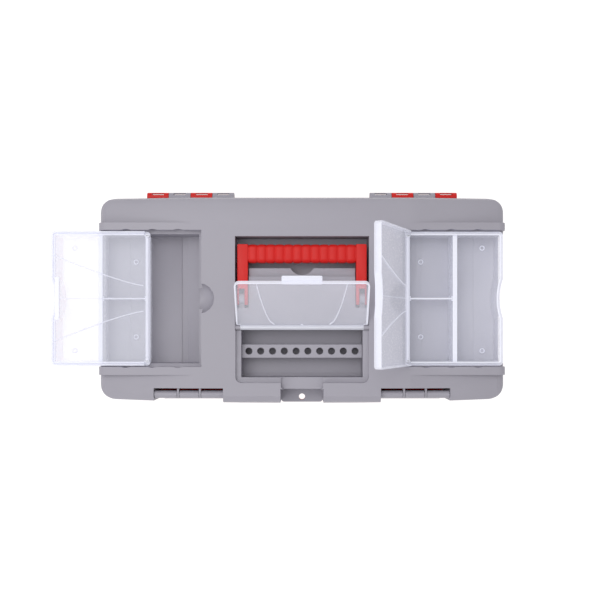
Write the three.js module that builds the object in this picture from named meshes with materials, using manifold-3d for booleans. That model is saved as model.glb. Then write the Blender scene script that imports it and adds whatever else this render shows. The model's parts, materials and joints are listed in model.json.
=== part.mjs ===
// A toolbox with a lift-out tray. Its lid carries two slide-out organisers, a carry handle, a see-through
// centre cover over a bit compartment, and two front latches.
// Frame: millimetres, +X along the box, +Y to its back, +Z up; the origin is the centre of the underside.

import * as THREE from 'three';
import { mergeVertices } from 'three/addons/utils/BufferGeometryUtils.js';
import Module from 'manifold-3d';

const wasm = await Module();
wasm.setup();

// ---- Overall ----
const LENGTH = 414.6;            // lid, end face to end face
const DEPTH = 209.6;             // lid, back face to the middle of the front edge
const FRONT_BOW = 3.7;           // how far the front edge bows forward between its corners
const CORNER_R = 18;             // lid corners, seen from above
const EDGE_R = 8;                // rounding of the lid's top edge
const CASE_HEIGHT = 150;         // underside to the parting line
const LID_HEIGHT = 50;           // parting line to the lid's top
const LID_DROP = 8;              // how far the top falls from its level middle to its ends
const LEVEL_HALF = 110;          // half the length of the level middle of the top
const WALL = 2.5;                // moulded walls of case and lid
const GAP = 0.3;                 // gap between pieces that touch
const FIT = 0.4;                 // running clearance between pieces that move
const OVER = 12;                 // how far a cutting tool runs past what it cuts

// ---- Case ----
const CASE_INSET = 6;            // case wall inside the lid's outline, under the rim
const CASE_TAPER = 0.03;         // share by which the case narrows down to its underside
const CASE_EDGE_R = 6;           // rounding of the case's bottom edge
const RIM_HEIGHT = 12;           // thick rim under the parting line
const RIM_INSET = 0.8;           // rim inside the lid's outline
const UPSTAND = 4;               // inner lip that the lid closes over
const UPSTAND_WALL = 2;
const UPSTAND_GAP = 0.9;         // between the lip and the lid's wall
const BELT_LOW = 58;             // raised belt round the case
const BELT_HEIGHT = 16;
const BELT_PROUD = 1.6;

// ---- Main hinge ----
const HINGE_OUT = 6.4;           // hinge axis behind the lid's back face
const HINGE_UP = 2;              // hinge axis above the parting line
const KNUCKLE_R = 5;
const KNUCKLE_LENGTH = 22.8;
const KNUCKLE_SPACE = 0.4;       // between neighbouring knuckles
const KNUCKLES = 4;
const KNUCKLE_START = 72.3;      // inner end of each hinge from the middle
const KNUCKLE_SLOT = 13;         // length of the slot through a knuckle, outside its pin
const KNUCKLE_SLOT_WALL = 1.3;   // wall left outside the slot
const PIN_R = 1.5;
const PIN_HOLE_R = PIN_R + 0.35;

// ---- Organiser wells in the lid ----
const WELL_INNER = 102.1;        // inner end of a well from the middle
const WELL_FRONT = 37 - DEPTH / 2;
const WELL_BACK = DEPTH / 2 - 33.6;
const LEDGE_DROP = 11;           // ledge below the lid's top
const LEDGE_WIDTH = 3.2;
const WELL_DEPTH = 38;
const BAND_BACK_WIDTH = 7.4;     // level bands that frame the wells
const BAND_FRONT_WIDTH = 8.2;
const NOTCH_PLACES = [23.6, 49.5, 76.8];   // detent notches, from the well's inner end
const NOTCH_LENGTH = 9;
const NOTCH_DEPTH = 1;
const SCOOP_R = 15.7;            // thumb scoop in a well's inner wall
const SCOOP_FROM_MIDDLE = 104.4;
const STOP_STRIP = 24;           // width of the raised strip on the well's floor
const STOP_STRIP_HEIGHT = 1.2;
const FLOOR_GROOVE_AT = 120.7;   // inner edge of the groove in a well's floor, from the middle
const FLOOR_GROOVE_WIDTH = 6;
const FLOOR_GROOVE_DEPTH = 0.8;

// ---- Organisers ----
const ORGANISER_INSET = 1.6;     // organiser's outer end inside the lid's end
const ORGANISER_GAP = 3.5;       // between the well's inner wall and the organiser
const ORGANISER_SIDE_GAP = 0.8;  // between the well's sides and the organiser's flange
const ORGANISER_CORNER_R = 4;
const ORGANISER_WALL = 1.8;
const ORGANISER_FLOOR_GAP = 2.5; // between the well's floor and the organiser
const FLANGE_WIDTH = 2.6;
const FLANGE_THICK = 2;
const ORGANISER_RISE = 5.6;      // wall above the flange
const FINGER_CHORD = 40;         // finger hollow in the outer end
const FINGER_DEPTH = 3.3;
const DOUBLE_WALL_AT = 50.6;     // middle of the hollow cross wall from the hinge edge
const DOUBLE_WALL_SKIN = 1.3;
const DOUBLE_WALL_GAP = 1.8;
const DIVIDER_THICK = 1.4;
const GUIDE_RIB = 1.2;           // ribs that hold the loose divider
const INNER_WALL_DROP = 3;       // cross wall and divider below the wall's top
const LEFT_SLIDE = 49.5;         // how far the left organiser is pulled out
const RIGHT_LID_OPEN = 114;      // degrees

// ---- Organiser lids ----
const ORGANISER_LID_THICK = 1.6;
const LID_SKIRT_WALL = 1.5;
const LID_HINGE_R = 1.9;
const LID_HINGE_IN = 2;          // lid hinge axis from the organiser's hinge edge
const PIP_R = 0.95;
const PIP_HOLE_R = PIP_R + 0.3;
const EAR_THICK = 3;
const EAR_FROM_SIDE = 3.7;       // outer face of an ear from the organiser's side

// ---- Carry handle and its pit ----
const PIT_HALF = 68;
const PIT_BACK = DEPTH / 2 - 40;
const PIT_DEPTH = 30;
const CHANNEL_WIDTH = 13.6;      // of the deep channels beside the platform
const GRIP_CHANNEL = 32;         // width of the deep channel that the grip lies in
const PLATFORM_HALF = PIT_HALF - CHANNEL_WIDTH;
const PLATFORM_BACK = PIT_BACK - GRIP_CHANNEL;
const PLATFORM_DROP = 6.5;
const PLATFORM_STEP_WIDTH = 8.7;
const PLATFORM_STEP = 3.5;
const PLATFORM_NOTCH_R = 13.7;
const PLATFORM_NOTCH_DEPTH = 7;
const HANDLE_HALF = PIT_HALF - 2.1;
const GRIP_BACK = PIT_BACK - 7.8;
const GRIP_WIDTH = 19;
const GRIP_R = 5;
const HANDLE_THICK = 13;
const HANDLE_TOP_DROP = 3;       // handle's top below the lid's top
const HANDLE_CORNER_R = 7;
const ARM_WIDTH = 10.8;
const PIVOT_AT = PLATFORM_BACK - 31.3;     // handle pivot, along Y
const PIVOT_SPACE = 9.2;         // from the pivot to the front end of its channel
const FORK_LENGTH = 10.3;        // from the pivot to the root of the fork
const LUG_OUTER = HANDLE_HALF - 1.8;
const LUG_WIDTH = 5.3;
const LUG_INNER = LUG_OUTER - LUG_WIDTH;
const LUG_R = 5.5;
const GRIP_RIBS = 12;
const RIB_PITCH = 9.1;
const RIB_LENGTH = 7.8;
const GROOVE_DEPTH = 1.1;

// ---- Bit compartment and its cover ----
const COVER_HINGE_AT = PIVOT_AT - 29.4;
const RECESS_HALF = 67.5;
const RECESS_FRONT = 20.7 - DEPTH / 2;
const RECESS_DROP = 5;
const RECESS_R = 6;
const BAY_LIP = 5.5;             // lip round the bay that the cover rests on
const BAY_HALF = RECESS_HALF - BAY_LIP;
const BAY_FRONT = RECESS_FRONT + BAY_LIP;
const BAY_BACK = COVER_HINGE_AT - 1.5;
const BAY_DEPTH = 34;
const BAY_RIB_AT = 2.2;          // fine rib on the bay's floor, behind its front wall
const BAY_RIB_WIDTH = 1;
const BAY_RIB_HEIGHT = 0.5;
const FINGER_HALF = 21.5;        // finger notch in front of the cover
const FINGER_FRONT = RECESS_FRONT - 6.4;
const COVER_HALF = RECESS_HALF - 0.7;
const COVER_LENGTH = COVER_HINGE_AT - RECESS_FRONT - FIT;
const COVER_THICK = 1.6;
const COVER_SKIRT = 4;
const COVER_SKIRT_WALL = 1.5;
const COVER_CORNER_R = 5;
const COVER_TAB_HALF = 20;
const COVER_TAB = 6;
const COVER_TOP_DROP = 0.6;      // cover's top below the lid's top
const COVER_BARREL_R = 2.4;
const COVER_ROD_R = 1.2;
const COVER_OPEN = 143;          // degrees
const COVER_LUG = 4.6;           // length of the lugs that hold the cover's rod

const RACK_MIDDLE = BAY_BACK - 22.7;       // bit rack, along Y
const RACK_WIDTH = 13.7;
const RACK_TOP_DROP = 14;
const RACK_PLATE = 3;
const RACK_WALL = 1.6;
const BIT_COUNT = 10;
const BIT_PITCH = 12.15;
const BIT_R = 3.7;

// ---- Front latches and padlock eye ----
const LATCH_INNER = 80.1;
const LATCH_OUTER = 151;
const LATCH_CHANNEL_BACK = 15.2 - DEPTH / 2;
const LATCH_AXIS_AT = 8.7 - DEPTH / 2;
const LATCH_AXIS_DROP = 9;
const LATCH_BARREL_R = 3.9;
const LATCH_LUGS = [104.1, 126.4];
const LATCH_LUG_WIDTH = 1.9;
const LATCH_PLATE = 2.5;
const LATCH_HOOK = 2.2;
const LATCH_HOOK_HEIGHT = 3.4;
const LATCH_LIP = 7;             // finger lip below the hook
const LATCH_LIP_PROUD = 1;
const LATCH_RELEASED = 4;        // degrees that an unlatched latch stands out
const CATCH_HEIGHT = 4;
const CATCH_TOP_DROP = 8.5;      // catch rib's top below the parting line
const CATCH_WALL_AT = 10.8 - DEPTH / 2;    // recessed case wall behind a latch
const CATCH_RECESS_LOW = CASE_HEIGHT - 32;
const SHELF_THICK = 4;
const NICHE_HALF = 22;
const EYE_PLATE = 4;
const EYE_AT = 3.4 - DEPTH / 2;
const EYE_PROUD = 2;             // how far the padlock tongues stand out of the front
const EYE_CORNER_R = 3;
const EYE_R = 3.4;

// ---- Tray ----
const TRAY_FLANGE = 7;           // hanging flange past the tray's ends
const TRAY_END_SPACE = 4.5;      // between the flange and the case's end wall
const TRAY_HALF = LENGTH / 2 - CASE_INSET - WALL - TRAY_FLANGE - TRAY_END_SPACE;
const TRAY_FRONT = 21.8 - DEPTH / 2;
const TRAY_BACK = DEPTH / 2 - 19.8;
const TRAY_TOP = CASE_HEIGHT - 7;
const TRAY_DEPTH = 46;
const TRAY_WALL = 2;
const TRAY_CORNER_R = 10;
const TRAY_FLANGE_HALF = 55;
const TRAY_FLANGE_THICK = 2.5;
const TRAY_LEDGE_HALF = 50;
const TRAY_LEDGE_HEIGHT = 12;
const TRAY_DIVIDER_DROP = 12;    // cross walls below the tray's top
const SPINE_SLOPE = 24;          // run of the spine's sloping ends
const SPINE_THICK = 8;           // the carrying spine that drops into the tray
const SPINE_TONGUE = 5;          // tongues on the tray's end walls that hold the spine
const SPINE_TONGUE_THICK = 2;
const SPINE_RISE = 4;
const SPINE_HALF = 90;
const GRIP_HOLE_HALF = 48;
const GRIP_HOLE_HEIGHT = 22;
const GRIP_HOLE_DROP = 6;        // grip hole's top below the tray's top

// ---- Derived levels ----
const TOP = CASE_HEIGHT + LID_HEIGHT;
const LEDGE_Z = TOP - LEDGE_DROP;
const WELL_Z = TOP - WELL_DEPTH;
const PIT_Z = TOP - PIT_DEPTH;
const PLATFORM_Z = TOP - PLATFORM_DROP;
const RECESS_Z = TOP - RECESS_DROP;
const BAY_Z = TOP - BAY_DEPTH;
const CASE_TOP = CASE_HEIGHT - GAP;
const HINGE_Y = DEPTH / 2 + HINGE_OUT;
const HINGE_Z = CASE_HEIGHT + HINGE_UP;
const LATCH_Z = TOP - LATCH_AXIS_DROP;
const HANDLE_TOP = TOP - HANDLE_TOP_DROP;
const PIVOT_Z = HANDLE_TOP - HANDLE_THICK / 2;
const COVER_TOP = TOP - COVER_TOP_DROP;
const COVER_AXIS_Z = COVER_TOP - COVER_BARREL_R;
const RACK_TOP = TOP - RACK_TOP_DROP;
const SPINE_Y = (TRAY_FRONT + TRAY_BACK) / 2;
const CATCH_TOP = CASE_HEIGHT - CATCH_TOP_DROP;
const FLANGE_Z = LEDGE_Z + FIT;
const FLANGE_TOP = FLANGE_Z + FLANGE_THICK;
const ORGANISER_WALL_TOP = FLANGE_TOP + ORGANISER_RISE;
const ORGANISER_LID_TOP = ORGANISER_WALL_TOP + FIT + ORGANISER_LID_THICK;
const LID_HINGE_Z = ORGANISER_LID_TOP - LID_HINGE_R - GAP;
const ORGANISER_X = WELL_INNER + ORGANISER_GAP;
const ORGANISER_LENGTH = LENGTH / 2 - ORGANISER_INSET - ORGANISER_X;
const ORGANISER_Y = (WELL_FRONT + WELL_BACK) / 2;
const ORGANISER_HALF = (WELL_BACK - WELL_FRONT) / 2 - ORGANISER_SIDE_GAP;

const SIDES = [-1, 1];
const ROUND_STEPS = 16;

// ---- Materials ----
const greyPlastic = new THREE.MeshStandardMaterial({ color: 0xa5a2ac, roughness: 0.6, metalness: 0 });
const redPlastic = new THREE.MeshStandardMaterial({ color: 0xda3b37, roughness: 0.5, metalness: 0 });
const frostedPlastic = new THREE.MeshStandardMaterial({
  color: 0xe4e6f2,
  roughness: 0.35,
  metalness: 0,
  transparent: true,
  opacity: 0.5,
});
const darkPlastic = new THREE.MeshStandardMaterial({ color: 0x55575c, roughness: 0.6, metalness: 0 });
const steel = new THREE.MeshStandardMaterial({ color: 0xb9bcc0, roughness: 0.35, metalness: 1 });

// ---- Solids from three.js geometries ----

// The closed solid of a three.js geometry, with its shared vertices merged.
function solid(geometry) {
  geometry.deleteAttribute('normal');
  geometry.deleteAttribute('uv');
  const merged = mergeVertices(geometry, 1e-4);
  return new wasm.Manifold(new wasm.Mesh({
    numProp: 3,
    vertProperties: Float32Array.from(merged.attributes.position.array),
    triVerts: Uint32Array.from(merged.index.array),
  }));
}

// An extruded shape whose end edges are rounded by bevel, without growing past its outline.
function extruded(shape, length, bevel, steps) {
  return new THREE.ExtrudeGeometry(shape, {
    depth: length - 2 * bevel,
    curveSegments: steps,
    bevelEnabled: bevel > 0,
    bevelSize: bevel,
    bevelThickness: bevel,
    bevelOffset: -bevel,
    bevelSegments: 2,
  }).translate(0, 0, bevel);
}

// A plan shape (x, y) between two heights.
function upright(shape, low, high, bevel = 0, steps = 4) {
  return solid(extruded(shape, high - low, bevel, steps).translate(0, 0, low));
}

// A section (y, z) between two places along X.
function alongX(shape, from, to, bevel = 0, steps = 4) {
  const low = Math.min(from, to);
  const turn = new THREE.Matrix4().set(0, 0, 1, low, 1, 0, 0, 0, 0, 1, 0, 0, 0, 0, 0, 1);
  return solid(extruded(shape, Math.abs(to - from), bevel, steps).applyMatrix4(turn));
}

// A section (x, z) between two places along Y.
function alongY(shape, from, to, bevel = 0, steps = 4) {
  const high = Math.max(from, to);
  const turn = new THREE.Matrix4().set(1, 0, 0, 0, 0, 0, -1, high, 0, 1, 0, 0, 0, 0, 0, 1);
  return solid(extruded(shape, Math.abs(to - from), bevel, steps).applyMatrix4(turn));
}

function box(x0, x1, y0, y1, z0, z1) {
  const geometry = new THREE.BoxGeometry(Math.abs(x1 - x0), Math.abs(y1 - y0), Math.abs(z1 - z0));
  return solid(geometry.translate((x0 + x1) / 2, (y0 + y1) / 2, (z0 + z1) / 2));
}

function rodX(y, z, radius, from, to, steps = ROUND_STEPS) {
  const rod = new THREE.CylinderGeometry(radius, radius, Math.abs(to - from), steps);
  return solid(rod.rotateZ(Math.PI / 2).translate((from + to) / 2, y, z));
}

function rodY(x, z, radius, from, to, steps = ROUND_STEPS) {
  const rod = new THREE.CylinderGeometry(radius, radius, Math.abs(to - from), steps);
  return solid(rod.translate(x, (from + to) / 2, z));
}

function rodZ(x, y, radius, from, to, steps = ROUND_STEPS) {
  const rod = new THREE.CylinderGeometry(radius, radius, Math.abs(to - from), steps);
  return solid(rod.rotateX(Math.PI / 2).translate(x, y, (from + to) / 2));
}

function polygon(points) {
  return new THREE.Shape(points.map(([a, b]) => new THREE.Vector2(a, b)));
}

function roundedRect(x0, x1, y0, y1, radius) {
  const shape = new THREE.Shape();
  shape.moveTo(x0 + radius, y0);
  shape.absarc(x1 - radius, y0 + radius, radius, -Math.PI / 2, 0, false);
  shape.absarc(x1 - radius, y1 - radius, radius, 0, Math.PI / 2, false);
  shape.absarc(x0 + radius, y1 - radius, radius, Math.PI / 2, Math.PI, false);
  shape.absarc(x0 + radius, y0 + radius, radius, Math.PI, 1.5 * Math.PI, false);
  return shape;
}

function join(first, ...others) {
  return others.reduce((whole, part) => whole.add(part), first);
}

function cut(first, ...tools) {
  return tools.reduce((whole, tool) => whole.subtract(tool), first);
}

function piece(name, body, material) {
  const { vertProperties, triVerts } = body.getMesh();
  const geometry = new THREE.BufferGeometry();
  geometry.setAttribute('position', new THREE.BufferAttribute(vertProperties, 3));
  geometry.setIndex(new THREE.BufferAttribute(triVerts, 1));
  geometry.computeVertexNormals();
  const mesh = new THREE.Mesh(geometry, material);
  mesh.name = name;
  return mesh;
}

const sideName = (side) => (side < 0 ? 'left' : 'right');

// ---- Lid ----

// The plan of lid and rim: a rounded rectangle with a bowed front edge, drawn in by inset.
function outline(inset) {
  const radius = CORNER_R - inset;
  const x = LENGTH / 2 - inset - radius;
  const back = DEPTH / 2 - inset - radius;
  const front = -(DEPTH / 2 - FRONT_BOW) + inset + radius;
  const shape = new THREE.Shape();
  shape.moveTo(-x, front - radius);
  shape.quadraticCurveTo(0, front - radius - 2 * FRONT_BOW, x, front - radius);
  shape.absarc(x, front, radius, -Math.PI / 2, 0, false);
  shape.absarc(x, back, radius, 0, Math.PI / 2, false);
  shape.absarc(-x, back, radius, Math.PI / 2, Math.PI, false);
  shape.absarc(-x, front, radius, Math.PI, 1.5 * Math.PI, false);
  return shape;
}

// The lid's front view: level in the middle, falling to rounded ends.
function lidFrontView(inset) {
  const radius = EDGE_R - inset;
  const x = LENGTH / 2 - inset;
  const endTop = TOP - LID_DROP - inset;
  const shape = new THREE.Shape();
  shape.moveTo(-x, CASE_HEIGHT - 2 * OVER);
  shape.lineTo(x, CASE_HEIGHT - 2 * OVER);
  shape.absarc(x - radius, endTop - radius, radius, 0, Math.PI / 2, false);
  shape.lineTo(LEVEL_HALF, TOP - inset);
  shape.lineTo(-LEVEL_HALF, TOP - inset);
  shape.absarc(radius - x, endTop - radius, radius, Math.PI / 2, Math.PI, false);
  return shape;
}

function lidBlock(inset) {
  const bevel = 0.9 * (EDGE_R - inset);
  const frontToBack = alongY(lidFrontView(inset), inset - DEPTH / 2, DEPTH / 2 - inset, bevel, 3);
  const low = inset > 0 ? CASE_HEIGHT - OVER : CASE_HEIGHT;
  return frontToBack.intersect(upright(outline(inset), low, TOP + OVER, 0, 6));
}

// A band beside a well that stays level to the lid's end, where the top beside it falls away.
function band(side, front, back) {
  const end = side * LENGTH / 2;
  const inner = side * WELL_INNER;
  const section = new THREE.Shape();
  section.moveTo(inner, CASE_HEIGHT);
  section.lineTo(end, CASE_HEIGHT);
  section.absarc(end - side * EDGE_R, TOP - EDGE_R, EDGE_R, side > 0 ? 0 : Math.PI, Math.PI / 2, side < 0);
  section.lineTo(inner, TOP);
  return alongY(section, front, back, 0, 4);
}

// The two-step hollow of an organiser well, grown outwards by the wall for the moulding round it.
function well(side, grow) {
  const end = side * (LENGTH / 2 + (grow ? 0 : OVER));
  const inner = side * (WELL_INNER - grow);
  const lowerInner = side * (WELL_INNER + LEDGE_WIDTH - grow);
  const front = WELL_FRONT - grow;
  const back = WELL_BACK + grow;
  const high = grow ? TOP : TOP + OVER;
  const upper = box(inner, end, front, back, LEDGE_Z - grow, high);
  const lower = box(lowerInner, end, front + LEDGE_WIDTH, back - LEDGE_WIDTH, WELL_Z - grow, high);
  const scoop = solid(new THREE.SphereGeometry(SCOOP_R + grow, 16, 9).rotateX(Math.PI / 2)
    .translate(side * SCOOP_FROM_MIDDLE, ORGANISER_Y, TOP));
  return join(upper, lower, scoop.intersect(box(0, end, front, back, PIT_Z, high)));
}

// Shallow arc notches that the organiser's flange clicks into, in both sides of a well.
function detents(side) {
  const radius = (NOTCH_LENGTH ** 2 / 4 + NOTCH_DEPTH ** 2) / (2 * NOTCH_DEPTH);
  const tools = [];
  for (const place of NOTCH_PLACES) {
    const x = side * (WELL_INNER + place);
    for (const y of [WELL_FRONT + radius - NOTCH_DEPTH, WELL_BACK - radius + NOTCH_DEPTH]) {
      tools.push(rodZ(x, y, radius, LEDGE_Z, TOP + OVER, 20));
    }
  }
  return join(...tools);
}

// The raised strip on a well's floor.
function stopStrip(side) {
  const from = side * (LENGTH / 2 - WALL - STOP_STRIP);
  const to = side * (LENGTH / 2 - WALL);
  const front = WELL_FRONT + LEDGE_WIDTH;
  const back = WELL_BACK - LEDGE_WIDTH;
  return box(from, to, front, back, WELL_Z - WALL / 2, WELL_Z + STOP_STRIP_HEIGHT);
}

// The shallow groove across a well's floor.
function floorGroove(side) {
  const from = side * FLOOR_GROOVE_AT;
  const to = side * (FLOOR_GROOVE_AT + FLOOR_GROOVE_WIDTH);
  return box(from, to, WELL_FRONT + LEDGE_WIDTH, WELL_BACK - LEDGE_WIDTH, WELL_Z - FLOOR_GROOVE_DEPTH,
    TOP + OVER);
}

// The handle's pit: a shallow floor over the platform and a deep channel round it.
function pit(grow) {
  const high = grow ? TOP : TOP + OVER;
  const half = PIT_HALF + grow;
  const shallowFront = COVER_HINGE_AT - (grow ? 0 : COVER_BARREL_R + FIT);
  const shallow = box(-half, half, shallowFront, PIT_BACK + grow, PLATFORM_Z - grow, high);
  const channel = polygon([
    [-half, PIVOT_AT - PIVOT_SPACE - grow],
    [-PLATFORM_HALF + grow, PIVOT_AT - PIVOT_SPACE - grow],
    [-PLATFORM_HALF + grow, PLATFORM_BACK - grow],
    [PLATFORM_HALF - grow, PLATFORM_BACK - grow],
    [PLATFORM_HALF - grow, PIVOT_AT - PIVOT_SPACE - grow],
    [half, PIVOT_AT - PIVOT_SPACE - grow],
    [half, PIT_BACK + grow],
    [-half, PIT_BACK + grow],
  ]);
  const deep = upright(channel, PIT_Z - grow, high);
  const notchY = PLATFORM_BACK + PLATFORM_NOTCH_R - PLATFORM_NOTCH_DEPTH;
  const notch = rodZ(0, notchY, PLATFORM_NOTCH_R + grow, PIT_Z - grow, high, 24);
  const stepFront = PLATFORM_BACK - PLATFORM_STEP_WIDTH;
  const stepLow = PLATFORM_Z - PLATFORM_STEP - grow;
  const step = box(-half, half, stepFront, PLATFORM_BACK, stepLow, high);
  return join(shallow, deep, notch, step);
}

// The lug that a fork of the handle straddles.
function handleLug(side) {
  const foot = box(side * LUG_INNER, side * LUG_OUTER, PIVOT_AT - PIVOT_SPACE - 1, PIVOT_AT + LUG_R,
    PIT_Z - 1, PIVOT_Z);
  const head = rodX(PIVOT_AT, PIVOT_Z, LUG_R, side * LUG_INNER, side * LUG_OUTER);
  return join(foot, head);
}

// The cover's recess, the bay under it and the finger notch in front.
function bay(grow) {
  const high = grow ? TOP : TOP + OVER;
  const back = COVER_HINGE_AT + COVER_BARREL_R + (grow ? 0 : FIT);
  const recess = roundedRect(-RECESS_HALF - grow, RECESS_HALF + grow, RECESS_FRONT - grow, back, RECESS_R);
  const seat = upright(recess, RECESS_Z - grow, high);
  const squareBack = box(-RECESS_HALF - grow, RECESS_HALF + grow, COVER_HINGE_AT - RECESS_R, back,
    RECESS_Z - grow, high);
  const deep = box(-BAY_HALF - grow, BAY_HALF + grow, BAY_FRONT - grow, BAY_BACK + grow, BAY_Z - grow, high);
  const fingerShape = roundedRect(-FINGER_HALF - grow, FINGER_HALF + grow, FINGER_FRONT - grow,
    RECESS_FRONT + RECESS_R, RECESS_R / 2);
  const finger = upright(fingerShape, RECESS_Z - FINGER_DEPTH - grow, high);
  return join(seat, squareBack, deep, finger);
}

// The fine rib across the bay's floor.
function bayRib() {
  const front = BAY_FRONT + BAY_RIB_AT;
  return box(-BAY_HALF - GAP, BAY_HALF + GAP, front, front + BAY_RIB_WIDTH, BAY_Z - WALL / 2,
    BAY_Z + BAY_RIB_HEIGHT);
}

// Lugs at the back corners of the recess that hold the cover's rod.
function coverLug(side) {
  const outer = side * (RECESS_HALF + 1);
  const inner = side * (RECESS_HALF - COVER_LUG);
  const head = rodX(COVER_HINGE_AT, COVER_AXIS_Z, COVER_BARREL_R, inner, outer);
  const foot = box(inner, outer, COVER_HINGE_AT - COVER_BARREL_R, COVER_HINGE_AT + COVER_BARREL_R,
    PLATFORM_Z - 1, COVER_AXIS_Z);
  return join(head, foot);
}

// The channel that a latch lies in, open at the front, above and below.
function latchChannel(side, grow) {
  const low = grow ? CASE_HEIGHT : CASE_HEIGHT - OVER;
  const high = grow ? TOP : TOP + OVER;
  const front = grow ? -DEPTH / 2 : -DEPTH / 2 - OVER;
  return box(side * (LATCH_INNER - grow), side * (LATCH_OUTER + grow), front, LATCH_CHANNEL_BACK + grow,
    low, high);
}

// The thin lugs between a latch's barrels.
function latchLug(side, middle) {
  const inner = side * (middle - LATCH_LUG_WIDTH / 2);
  const outer = side * (middle + LATCH_LUG_WIDTH / 2);
  const web = box(inner, outer, LATCH_AXIS_AT, LATCH_CHANNEL_BACK + WALL / 2, LATCH_Z - LATCH_BARREL_R,
    LATCH_Z + LATCH_BARREL_R);
  return join(web, rodX(LATCH_AXIS_AT, LATCH_Z, LATCH_BARREL_R, inner, outer));
}

// The sunk niche over the padlock eye.
function niche(grow) {
  const half = NICHE_HALF + grow;
  const low = CASE_HEIGHT + (grow ? 0 : EYE_PLATE);
  const front = grow ? -DEPTH / 2 : -DEPTH / 2 - OVER;
  return box(-half, half, front, FINGER_FRONT + grow, low, grow ? RECESS_Z : TOP + OVER);
}

// One of the two tongues that a padlock's shackle passes through.
function tongue(low, high) {
  const plan = roundedRect(-NICHE_HALF, NICHE_HALF, -DEPTH / 2 - EYE_PROUD, FINGER_FRONT, EYE_CORNER_R);
  return upright(plan, low, high);
}

// Where the nth knuckle of a hinge starts, counted from the middle of the box outwards.
function knuckleStart(index) {
  return KNUCKLE_START + index * (KNUCKLE_LENGTH + KNUCKLE_SPACE);
}

// Knuckles of one half of the main hinges: web is the section that ties a barrel to its wall.
function knuckles(side, first, web) {
  const parts = [];
  for (let index = first; index < KNUCKLES; index += 2) {
    const from = side * knuckleStart(index);
    const to = side * (knuckleStart(index) + KNUCKLE_LENGTH);
    const middle = (from + to) / 2;
    const whole = join(rodX(HINGE_Y, HINGE_Z, KNUCKLE_R, from, to), alongX(web, from, to));
    const slot = box(middle - KNUCKLE_SLOT / 2, middle + KNUCKLE_SLOT / 2, HINGE_Y + PIN_HOLE_R + GAP,
      HINGE_Y + KNUCKLE_R - KNUCKLE_SLOT_WALL, HINGE_Z - OVER, HINGE_Z + OVER);
    parts.push(cut(whole, slot));
  }
  return cut(join(...parts), rodX(HINGE_Y, HINGE_Z, PIN_HOLE_R, 0, side * LENGTH / 2));
}

function lidShell() {
  const backBand = [WELL_BACK, WELL_BACK + BAND_BACK_WIDTH];
  const frontBand = [WELL_FRONT - BAND_FRONT_WIDTH, WELL_FRONT];
  const block = lidBlock(0);
  const bands = SIDES.flatMap((side) => [band(side, ...backBand), band(side, ...frontBand)]);
  const outer = join(block, ...bands);
  const mouldings = join(...SIDES.flatMap((side) => [well(side, WALL), latchChannel(side, WALL)]),
    pit(WALL), bay(WALL), niche(WALL)).intersect(outer);
  const shell = join(cut(outer, lidBlock(WALL)), mouldings);
  const hollows = SIDES.flatMap((side) => [
    well(side, 0),
    detents(side),
    floorGroove(side),
    latchChannel(side, 0),
  ]);
  const open = cut(shell, ...hollows, pit(0), bay(0), niche(0));
  const web = polygon([
    [DEPTH / 2 - WALL, HINGE_Z],
    [HINGE_Y, HINGE_Z],
    [HINGE_Y, HINGE_Z + KNUCKLE_R],
    [DEPTH / 2 - WALL, HINGE_Z + KNUCKLE_R + 2],
  ]);
  const fittings = [tongue(CASE_HEIGHT, CASE_HEIGHT + EYE_PLATE), bayRib(), ...SIDES.flatMap((side) => [
    stopStrip(side),
    handleLug(side),
    coverLug(side),
    ...LATCH_LUGS.map((middle) => latchLug(side, middle)),
    knuckles(side, 0, web),
  ])];
  const latchHoles = SIDES.map((side) => rodX(LATCH_AXIS_AT, LATCH_Z, PIN_HOLE_R,
    side * (LATCH_INNER - WALL), side * (LATCH_OUTER + WALL)));
  return cut(join(open, ...fittings), ...latchHoles,
    rodX(PIVOT_AT, PIVOT_Z, PIN_HOLE_R, -HANDLE_HALF, HANDLE_HALF),
    rodX(COVER_HINGE_AT, COVER_AXIS_Z, COVER_ROD_R + FIT, -RECESS_HALF, RECESS_HALF),
    rodZ(0, EYE_AT, EYE_R, CASE_HEIGHT - OVER, CASE_HEIGHT + OVER));
}

// ---- Case ----

// A plan outline that narrows towards the underside of the case.
function tapered(inset, low, high, bevel = 0) {
  const geometry = extruded(outline(inset), high - low, bevel, 6).translate(0, 0, low);
  const position = geometry.attributes.position;
  for (let i = 0; i < position.count; i += 1) {
    const share = 1 - CASE_TAPER * (CASE_TOP - position.getZ(i)) / CASE_TOP;
    position.setX(i, position.getX(i) * share);
    position.setY(i, position.getY(i) * share);
  }
  return solid(geometry);
}

// The set-back front wall that a latch closes against, with the rib that its hook catches.
function catchRecess(side, grow) {
  const inner = side * (LATCH_INNER - 2 * GAP - grow);
  const outer = side * (LATCH_OUTER + 2 * GAP + grow);
  const front = -DEPTH / 2 - (grow ? -CASE_INSET - WALL : OVER);
  const high = grow ? CASE_TOP : CASE_TOP + OVER;
  return box(inner, outer, front, CATCH_WALL_AT + grow, CATCH_RECESS_LOW - grow, high);
}

function catchRib(side) {
  const reach = LATCH_AXIS_AT - (LATCH_BARREL_R - LATCH_PLATE) + FIT;
  return box(side * LATCH_INNER, side * LATCH_OUTER, reach, CATCH_WALL_AT + 1, CATCH_TOP - CATCH_HEIGHT,
    CATCH_TOP);
}

// The shelf that closes the case under a latch channel.
function shelf(side) {
  return box(side * (LATCH_INNER - WALL), side * (LATCH_OUTER + WALL), CATCH_WALL_AT,
    LATCH_CHANNEL_BACK + 1.2 * WALL, CASE_TOP - SHELF_THICK, CASE_TOP);
}

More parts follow.
